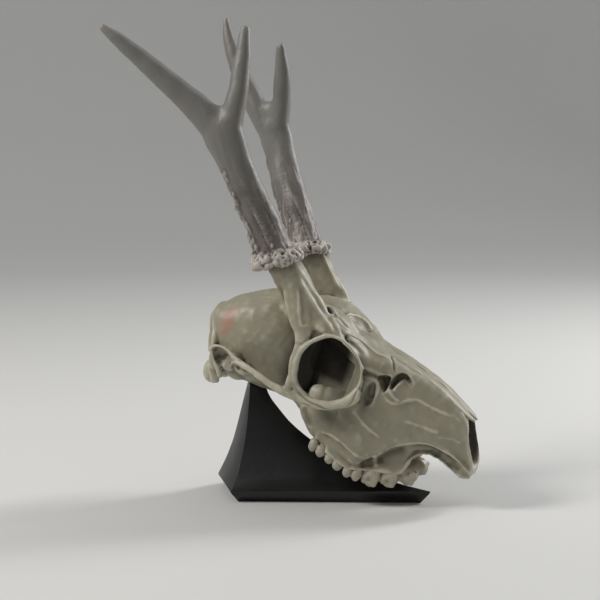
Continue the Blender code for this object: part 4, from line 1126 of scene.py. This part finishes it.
def pearling(clay, side, chance, run, count):
    """Small knobs in dark moats, thick near the burr and along the beam's rear edge."""
    pearl = np.zeros(len(clay.at))
    ahead = np.array(burr_axis(side))
    back = np.array((-0.8, side * 0.25, -0.55))
    rear = clay.normal @ back
    for k in range(count):
        up = 70 * chance.random() ** 1.5
        edge = k % 4 < 3
        wanted = rear > 0.72 if edge else (rear > -0.3) & (up < 12 + 10 * chance.random())
        band = np.nonzero((np.abs(run - up) < 2.0) & wanted)[0]
        if not len(band):
            continue
        place = clay.at[band[chance.randrange(len(band))]]
        size = chance.uniform(0.9, 1.9) if edge else chance.uniform(0.8, 1.5)
        away = clay.at - place
        length = away @ ahead
        gap = np.sqrt(np.maximum((away**2).sum(1) - 0.55 * length**2, 0))
        some = np.nonzero(gap < 2.6 * size)[0]
        shape = np.exp(-(gap[some] / size) ** 2)
        lift = size * chance.uniform(0.35, 0.7) * (1 if up < 52 else 0.6)
        clay.at[some] += clay.normal[some] * (lift * shape)[:, None]
        pearl[some] = np.maximum(pearl[some], shape * chance.uniform(0.3, 0.75))
        moat = np.exp(-((gap[some] / size - 1.45) / 0.45) ** 2)
        clay.stain_and_shade[some] = np.maximum(clay.stain_and_shade[some], 0.65 * moat)
        if k % 12 == 11:
            clay.refresh()
    clay.refresh()
    return pearl


def antler(sizes, name, side):
    """A beam with its burr, forked into a front and a rear tine, then furrowed and pearled."""
    chance = random.Random(sizes.seed * 7 + side)
    beam, front, rear = (
        [(u, side * v, w, wide, thick) for u, v, w, wide, thick in kind[name]]
        for kind in (BEAM, FRONT_TINE, REAR_TINE)
    )
    web, radii = WEB[name]
    parts = [
        bar("beam", beam, sides=32, steps=44),
        bar("front_tine", front, sides=28, steps=44, domed=True),
        bar("rear_tine", rear, sides=28, steps=52, domed=True),
        lump("web", (web[0], side * web[1], web[2]), radii, turn=(0, -20, 0)),
    ] + burr(side, chance)
    made = join(name + "_antler", parts)
    fuse(made, sizes.antler_grain, 4)
    clay = Clay(made)
    u, v, w = web
    for rounds in FORK_ROUNDS:
        clay.soothe((u + 6, side * v, w + 2), FORK_REACH, rounds, sides=(1,))
    run = grooves(clay, side, name, chance)
    clay.refresh()
    pearl = pearling(clay, side, chance, run, sizes.pearls)
    centre, axis, _, _ = burr_frame(side)
    up = (clay.at - np.array(centre)) @ np.array(axis)
    out = np.linalg.norm(clay.at - np.array(centre) - up[:, None] * np.array(axis), axis=1)
    ring = smoothstep((out - 11.5) / 2.5) * smoothstep((6.5 - np.abs(up - 1)) / 2)
    ripple(clay, chance, ((15.0, 0.16),))
    rough = clay.at.copy()
    ripple(clay, chance, ((3.6, 0.22),))
    grit = np.maximum(ring, 0.15 + 0.5 * smoothstep((40 - run) / 30))
    clay.at = rough + (clay.at - rough) * grit[:, None]
    clay.finish(fine=(5, 0.22), wide=(45, 1.3))
    store(made, "pearl", np.maximum(pearl, ring))
    store(made, "run", run)
    return made


# The pedestal, in row millimetres: the plate's corners, its height and how far it is cut under, then the
# pyramid's apex and the distance from it to each ridge, as (height, distance) knots

KITE = [(76.0, 0.0), (-48.0, 43.0), (-75.0, 0.0), (-48.0, -43.0)]
PLATE = 8.0
UNDERCUT = 6.5
APEX_X = -47.0
FRONT_RIDGE = [(8, 123), (11.5, 102), (17, 83), (23.6, 67.5), (32.8, 46.3), (45.8, 27), (55.5, 17.6),
               (63.9, 10.6), (74, 6)]
PYRAMID_LEVELS = (
    8, 9.5, 11, 12.5, 14, 16, 18, 20.5, 23, 26, 29, 32.5, 36, 40, 44, 48.5, 53, 57.5, 62, 66, 70, 74, 78,
)
SIDE_RIDGE = [(8, 42), (13, 35.5), (19, 30), (30.6, 22), (43, 16), (62, 11), (74, 9)]
REAR_RIDGE = [(8, 28), (19.8, 22), (32.2, 17), (43, 13.8), (53.5, 11), (62.7, 8.6), (74, 5.5)]


def pedestal():
    """A kite-shaped plate cut under at its edge, and a hollow-sided pyramid, with finely broken edges."""
    rings = []
    for z, inset in ((0, UNDERCUT), (PLATE - 1.2, 0.4), (PLATE, 0)):
        middle = Vector((APEX_X + 20, 0))
        ring = []
        for x, y in KITE:
            out = Vector((x, y)) - middle
            ring.append((*(middle + out * (1 - inset / out.length)), z))
        rings.append(ring)
    for z in PYRAMID_LEVELS:
        front, sides, rear = along(FRONT_RIDGE, z), along(SIDE_RIDGE, z), along(REAR_RIDGE, z)
        corners = ((front, 0), (-0.5, sides), (-rear, 0), (-0.5, -sides))
        rings.append([(APEX_X + x, y, z + 0.2) for x, y in corners])
    made = skin("pedestal", rings)
    made.data.transform(POSE.inverted())
    alone(made)
    bpy.ops.object.mode_set(mode="EDIT")
    bpy.ops.mesh.select_all(action="SELECT")
    bpy.ops.mesh.bisect(
        plane_co=(0, 0, (STAND_TOP_W - GAP) * MM), plane_no=(0, 0, 1), use_fill=True, clear_outer=True,
    )
    bpy.ops.object.mode_set(mode="OBJECT")
    made.data.transform(POSE)
    modify(made, "BEVEL", width=0.45 * MM, segments=3, limit_method="ANGLE", angle_limit=math.radians(24))
    return made


# Shader maths

class Value:
    """A number socket that Python's own operators work on."""

    def __init__(self, finish, socket):
        self.finish, self.socket = finish, socket

    def math(self, operation, first, second=0.0):
        return self.finish.add("ShaderNodeMath", {"operation": operation}, {0: first, 1: second})

    def __add__(self, other):
        return self.math("ADD", self, other)

    def __radd__(self, other):
        return self.math("ADD", other, self)

    def __sub__(self, other):
        return self.math("SUBTRACT", self, other)

    def __rsub__(self, other):
        return self.math("SUBTRACT", other, self)

    def __mul__(self, other):
        return self.math("MULTIPLY", self, other)

    def __rmul__(self, other):
        return self.math("MULTIPLY", other, self)


class Finish:
    """A material and the nodes that make it."""

    def __init__(self, name):
        self.material = bpy.data.materials.new(name)
        self.material.use_nodes = True
        self.tree = self.material.node_tree
        self.shader = self.tree.nodes["Principled BSDF"]

    def add(self, kind, settings=None, inputs=None, output=0):
        """Any node: its settings first, then the values or links of its sockets."""
        node = self.tree.nodes.new(kind)
        for key, value in (settings or {}).items():
            setattr(node, key, value)
        for key, value in (inputs or {}).items():
            self.feed(node.inputs[key], value)
        return Value(self, node.outputs[output])

    def feed(self, socket, value):
        if isinstance(value, Value):
            self.tree.links.new(value.socket, socket)
        else:
            socket.default_value = value

    def place(self, stretch=(1, 1, 1), tip=0.0):
        """The object's own coordinates, turned by tip degrees about Y and drawn out by stretch."""
        here = self.add("ShaderNodeTexCoord", output="Object")
        return self.add("ShaderNodeMapping", {"vector_type": "TEXTURE"},
                        {"Vector": here, "Scale": stretch, "Rotation": (0, math.radians(tip), 0)})

    def noise(self, place, scale, detail=4.0, rough=0.55, twist=0.0):
        return self.add("ShaderNodeTexNoise", None, {
            "Vector": place, "Scale": scale, "Detail": detail, "Roughness": rough, "Distortion": twist,
        })

    def pores(self, place, scale):
        return self.add("ShaderNodeTexVoronoi", {"feature": "F1"}, {"Vector": place, "Scale": scale})

    def read(self, name):
        return self.add("ShaderNodeAttribute", {"attribute_name": name}, output="Fac")

    def ramp(self, value, low, high):
        """0 at low, 1 at high, smooth between."""
        return self.add("ShaderNodeMapRange", {"interpolation_type": "SMOOTHSTEP"},
                        {"Value": value, "From Min": low, "From Max": high})

    def blend(self, amount, first, second):
        return self.add(
            "ShaderNodeMix", {"data_type": "RGBA", "clamp_factor": True}, {0: amount, 6: first, 7: second}, 2,
        )

    def bump(self, height, strength, distance):
        return self.add(
            "ShaderNodeBump", None, {"Height": height, "Strength": strength, "Distance": distance},
        )

    def surface(self, **sockets):
        for key, value in sockets.items():
            self.feed(self.shader.inputs[key.replace("_", " ").title()], value)
        return self.material


def bone_finish(colours):
    finish = Finish("weathered_bone")
    place = finish.place(tip=NOSE_DOWN_DEG)
    fibres = finish.place((4, 1, 1), NOSE_DOWN_DEG)
    fine, wide, stain_and_shade = finish.read("fine_relief"), finish.read("wide_relief"), finish.read("stain_and_shade")
    cloud = finish.noise(place, 34, 3, 0.5, 0.4)
    mottle = finish.noise(place, 190, 5, 0.6, 0.3)
    grain = finish.noise(fibres, 1500, 3, 0.6)
    specks = finish.pores(place, 620)
    # painted shade and dirt: creases and broad hollows darken towards the hollow colour
    crease = finish.ramp(fine, 0.54, 0.90) * 0.6 + finish.ramp(wide, 0.56, 0.95) * 0.45
    dirt_and_shade = crease + (mottle - 0.5) * 0.55 + (cloud - 0.5) * 0.5 + (grain - 0.5) * 0.18
    worn = finish.ramp(0.5 - fine, 0.0, 0.30) * 0.8 + finish.ramp(0.5 - wide, 0.02, 0.42) * 0.35
    colour = finish.blend(worn + (mottle - 0.5) * 0.3, tuple(colours.bone), tuple(colours.ridge))
    colour = finish.blend(finish.ramp(cloud, 0.52, 0.72) * 0.35, colour, (0.315, 0.27, 0.185, 1))
    colour = finish.blend(finish.ramp(dirt_and_shade, 0.02, 1.0) * 0.9, colour, tuple(colours.hollow))
    colour = finish.blend(finish.ramp(0.16 - specks, 0.0, 0.12) * 0.35, colour, tuple(colours.hollow))
    # painted warm light: pinkish patches where a warm lamp's reflection would fall
    colour = finish.blend(finish.read("painted_warm_light") * (0.55 + mottle * 0.5), colour, (0.40, 0.235, 0.165, 1))
    # painted shade, near black, deep in the sockets, inside the nose, on the temples and under the burrs,
    # together with the sutures' stains
    colour = finish.blend(stain_and_shade, colour, (0.014, 0.012, 0.008, 1))
    relief = grain * 0.5 + mottle * 0.9 + finish.ramp(specks, 0.0, 0.25) * 0.5
    return finish.surface(
        base_color=colour, roughness=0.46 + (mottle - 0.5) * 0.25 + stain_and_shade * 0.5,
        normal=finish.bump(relief, 0.35, 0.00035),
    )


def tooth_finish(colours):
    finish = Finish("stained_enamel")
    place = finish.place()
    fine, wide, stain_and_shade = finish.read("fine_relief"), finish.read("wide_relief"), finish.read("stain_and_shade")
    mottle = finish.noise(place, 320, 5, 0.6, 0.4)
    streaks = finish.noise(finish.place((1, 1, 4)), 900, 3, 0.6)
    # painted shade and dirt in the crowns' creases
    dirt_and_shade = finish.ramp(fine, 0.5, 0.85) + finish.ramp(wide, 0.5, 0.9) * 0.6 + (mottle - 0.5) * 0.8
    colour = finish.blend(finish.ramp(mottle, 0.35, 0.7), tuple(colours.tooth), (0.47, 0.44, 0.35, 1))
    colour = finish.blend(dirt_and_shade, colour, (0.13, 0.115, 0.07, 1))
    # stains and painted shade in the crowns' worn valleys
    colour = finish.blend(stain_and_shade, colour, (0.03, 0.026, 0.016, 1))
    return finish.surface(
        base_color=colour, roughness=0.34 + (mottle - 0.5) * 0.3,
        normal=finish.bump(streaks, 0.3, 0.0002),
    )


def antler_finish(colours):
    finish = Finish("antler")
    place = finish.place()
    fine, wide, stain_and_shade = finish.read("fine_relief"), finish.read("wide_relief"), finish.read("stain_and_shade")
    pearl, run = finish.read("pearl"), finish.read("run")
    mottle = finish.noise(place, 150, 5, 0.62, 0.6)
    cloud = finish.noise(place, 40, 3, 0.5, 0.4)
    beam = finish.place((1, 1, 9), -15)
    grain = finish.noise(beam, 1300, 3, 0.6)
    streak = finish.noise(beam, 190, 3, 0.5, 0.6)
    band = finish.noise(beam, 90, 3, 0.5, 0.6)
    high = finish.ramp(run + (cloud - 0.5) * 40, 24, 88)
    low = 1 - high
    colour = finish.blend(high, tuple(colours.antler_foot), tuple(colours.antler))
    colour = finish.blend(finish.ramp(band, 0.5, 0.66) * 0.55, colour, (0.20, 0.19, 0.172, 1))
    colour = finish.blend(finish.ramp(cloud, 0.5, 0.72) * 0.35, colour, (0.15, 0.115, 0.095, 1))
    foot = finish.ramp(0 - run, -20, -3)
    colour = finish.blend(foot * 0.6, colour, (0.27, 0.235, 0.205, 1))
    # painted shade and dirt in the antler's creases, with mottling and streaks
    dirt_and_shade = finish.ramp(fine, 0.54, 0.85) * 0.75 + (mottle - 0.5) * (0.2 + 0.4 * low)
    dirt_and_shade = dirt_and_shade + finish.ramp(streak, 0.54, 0.70) * (0.1 + 0.4 * low)
    colour = finish.blend(dirt_and_shade, colour, (0.045, 0.037, 0.032, 1))
    worn = finish.ramp(0.5 - fine, 0.03, 0.34) * (0.25 + 0.45 * low)
    worn = worn + finish.ramp(0.5 - wide, 0.05, 0.45) * 0.3
    worn = worn + finish.ramp(0 - streak, -0.46, -0.36) * 0.55 * low
    colour = finish.blend(worn, colour, (0.36, 0.335, 0.30, 1))
    # stains and painted shade in the furrows and in the moats round the pearls
    dim = finish.ramp(stain_and_shade, 0.1, 0.7)
    colour = finish.blend(dim * (1.0 - pearl) * 0.7, colour, (0.05, 0.035, 0.028, 1))
    colour = finish.blend(pearl * (1.0 - finish.ramp(fine, 0.42, 0.66) * 0.95), colour, tuple(colours.pearl))
    return finish.surface(
        base_color=colour, roughness=0.47 + (mottle - 0.5) * 0.25,
        normal=finish.bump(grain * 0.8 + mottle, 0.4, 0.0003),
    )


def lacquer_finish(colours):
    finish = Finish("black_lacquer")
    place = finish.place()
    smears = finish.noise(place, 22, 4, 0.55, 1.2)
    dust = finish.noise(place, 700, 3, 0.6)
    colour = finish.blend(finish.ramp(dust, 0.56, 0.8) * 0.16, tuple(colours.lacquer), (0.16, 0.155, 0.15, 1))
    rough = 0.30 + finish.ramp(smears, 0.4, 0.75) * 0.08 + finish.ramp(dust, 0.55, 0.8) * 0.1
    return finish.surface(base_color=colour, roughness=rough, normal=finish.bump(dust, 0.04, 0.0002))


def floor_finish(colours):
    finish = Finish("studio_floor")
    place = finish.place()
    cloud = finish.noise(place, 1.6, 3)
    grain = finish.noise(place, 420, 2)
    pale = tuple(colours.floor)
    colour = finish.blend(cloud, pale, tuple(c * 0.96 for c in pale[:3]) + (1,))
    return finish.surface(base_color=colour, roughness=0.62, normal=finish.bump(grain, 0.05, 0.0004))


def dress(piece, material):
    piece.data.materials.clear()
    piece.data.materials.append(material)


# The add-on's operators

CRANIUM_NODES = ["braincase"] + [
    side + bone for side in SIDES
    for bone in ("_frontal_and_orbit", "_pedicle", "_zygomatic_arch", "_maxilla", "_premaxilla")
]


class SKULL_OT_cranium(bpy.types.Operator):
    """Fuse, sculpt and finish the cranium"""
    bl_idname = "skull.cranium"
    bl_label = "Cranium"

    def execute(self, context):
        piece = cranium(context.scene.skull_sizes)
        dress(piece, bone_finish(context.scene.skull_colours))
        settle(piece, CRANIUM_NODES)
        return {"FINISHED"}


class SKULL_OT_nasal_bones(bpy.types.Operator):
    """Lay the two nasal bones over the snout"""
    bl_idname = "skull.nasal_bones"
    bl_label = "Nasal bones"

    def execute(self, context):
        piece = nasal_bones(context.scene.skull_sizes)
        dress(piece, bpy.data.objects["cranium"].data.materials[0])
        settle(piece, ["nasal_bones"])
        return {"FINISHED"}


class SKULL_OT_cheek_teeth(bpy.types.Operator):
    """Set both rows of cheek teeth"""
    bl_idname = "skull.cheek_teeth"
    bl_label = "Cheek teeth"

    def execute(self, context):
        piece = cheek_teeth(context.scene.skull_sizes)
        dress(piece, tooth_finish(context.scene.skull_colours))
        settle(piece, [])
        return {"FINISHED"}


class SKULL_OT_antlers(bpy.types.Operator):
    """Grow both antlers"""
    bl_idname = "skull.antlers"
    bl_label = "Antlers"

    def execute(self, context):
        material = antler_finish(context.scene.skull_colours)
        for name, side in SIDES.items():
            piece = antler(context.scene.skull_sizes, name, side)
            dress(piece, material)
            nodes = [f"{name}_antler_{part}" for part in ("beam", "front_tine", "rear_tine")]
            settle(piece, nodes)
        return {"FINISHED"}


class SKULL_OT_pedestal(bpy.types.Operator):
    """Make the pedestal"""
    bl_idname = "skull.pedestal"
    bl_label = "Pedestal"

    def execute(self, context):
        piece = pedestal()
        dress(piece, lacquer_finish(context.scene.skull_colours))
        alone(piece)
        bpy.ops.object.shade_smooth_by_angle(angle=math.radians(20))
        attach(piece, "root")
        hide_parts("stand_plinth")
        return {"FINISHED"}


class SKULL_OT_stage(bpy.types.Operator):
    """Lay the floor, hang the lights and place the camera"""
    bl_idname = "skull.stage"
    bl_label = "Stage"

    def execute(self, context):
        stage(context.scene)
        return {"FINISHED"}


# Camera and studio, in metres, degrees and the lens's millimetres

CAMERA_TARGET = (-0.015, 0.0, 0.131)
CAMERA_AZIMUTH = 20.0
CAMERA_ELEVATION = 7.0
CAMERA_DISTANCE = 1.0
CAMERA_LENS = 90.0
CAMERA_SENSOR = 36.0
CAMERA_NEAR = 0.01
LIGHTS_AIM = (0.0, 0.0, 0.15)
SKY = (0.86, 0.88, 0.9, 1)
SKY_STRENGTH = 0.26

# Softboxes: where each stands, its width and height in metres, its power and its colour
SOFTBOXES = {
    "key": ((-0.95, -0.65, 1.2), (0.45, 0.45), 15.0, (1.0, 0.985, 0.95)),
    "overhead": ((0.1, 0.5, 2.4), (2.4, 2.4), 9.0, (1.0, 1.0, 1.0)),
    "edge": ((0.85, 0.95, 0.75), (0.25, 0.9), 15.0, (1.0, 1.0, 1.0)),
}

# The studio's floor, which sweeps up all round: its radius and height in metres at each ring
SWEEP = [(1.5, 0.0), (1.75, 0.02), (2.0, 0.08), (2.25, 0.2), (2.45, 0.36), (2.6, 0.58), (2.7, 0.85),
         (2.75, 1.2)]


def aim(obj, target):
    obj.rotation_euler = (Vector(target) - obj.location).to_track_quat("-Z", "Y").to_euler()


def stage(scene):
    alone()
    bpy.ops.mesh.primitive_circle_add(vertices=128, radius=1.0, fill_type="NGON")
    floor = bpy.context.object
    floor.name = "studio_floor"
    bpy.ops.object.mode_set(mode="EDIT")
    bpy.ops.mesh.select_mode(type="EDGE")
    bpy.ops.mesh.select_all(action="SELECT")
    before, lower = 1.0, 0.0
    for radius, height in SWEEP:
        bpy.ops.mesh.extrude_edges_move()
        bpy.ops.transform.resize(value=(radius / before, radius / before, 1))
        bpy.ops.transform.translate(value=(0, 0, height - lower))
        before, lower = radius, height
    bpy.ops.object.mode_set(mode="OBJECT")
    bpy.ops.object.shade_smooth()
    dress(floor, floor_finish(scene.skull_colours))

    azimuth, elevation = math.radians(CAMERA_AZIMUTH), math.radians(CAMERA_ELEVATION)
    back = Vector((math.sin(azimuth) * math.cos(elevation), -math.cos(azimuth) * math.cos(elevation),
                   math.sin(elevation)))
    bpy.ops.object.camera_add(location=Vector(CAMERA_TARGET) + back * CAMERA_DISTANCE)
    camera = bpy.context.object
    camera.data.lens = CAMERA_LENS
    camera.data.sensor_width = CAMERA_SENSOR
    camera.data.clip_start = CAMERA_NEAR
    aim(camera, CAMERA_TARGET)
    scene.camera = camera

    for name, (place, size, power, colour) in SOFTBOXES.items():
        bpy.ops.object.light_add(type="AREA", location=place)
        light = bpy.context.object
        light.name = name
        light.data.shape = "RECTANGLE"
        light.data.size, light.data.size_y = size
        light.data.energy = power
        light.data.color = colour
        aim(light, LIGHTS_AIM)

    world = bpy.data.worlds.new("studio")
    world.use_nodes = True
    sky = world.node_tree.nodes["Background"]
    sky.inputs["Color"].default_value = SKY
    sky.inputs["Strength"].default_value = SKY_STRENGTH
    scene.world = world
    scene.view_settings.view_transform = "Standard"


class SKULL_PT_panel(bpy.types.Panel):
    """What the skull is made of"""
    bl_idname = "SKULL_PT_panel"
    bl_label = "Roe deer skull"
    bl_space_type = "VIEW_3D"
    bl_region_type = "UI"
    bl_category = "Skull"

    def draw(self, context):
        for operator in OPERATORS:
            self.layout.operator(operator.bl_idname)
        for group in (context.scene.skull_sizes, context.scene.skull_colours):
            for name in group.bl_rna.properties.keys():
                if name not in ("rna_type", "name"):
                    self.layout.prop(group, name)


OPERATORS = (
    SKULL_OT_cranium, SKULL_OT_nasal_bones, SKULL_OT_cheek_teeth, SKULL_OT_antlers, SKULL_OT_pedestal,
    SKULL_OT_stage,
)
CLASSES = (SkullSizes, SkullColours) + OPERATORS + (SKULL_PT_panel,)


def register():
    for cls in CLASSES:
        bpy.utils.register_class(cls)
    bpy.types.Scene.skull_sizes = PointerProperty(type=SkullSizes)
    bpy.types.Scene.skull_colours = PointerProperty(type=SkullColours)


def unregister():
    del bpy.types.Scene.skull_colours
    del bpy.types.Scene.skull_sizes
    for cls in reversed(CLASSES):
        bpy.utils.unregister_class(cls)


def main():
    register()
    for operator in OPERATORS:
        group, name = operator.bl_idname.split(".")
        getattr(getattr(bpy.ops, group), name)()


if __name__ == "__main__":
    main()
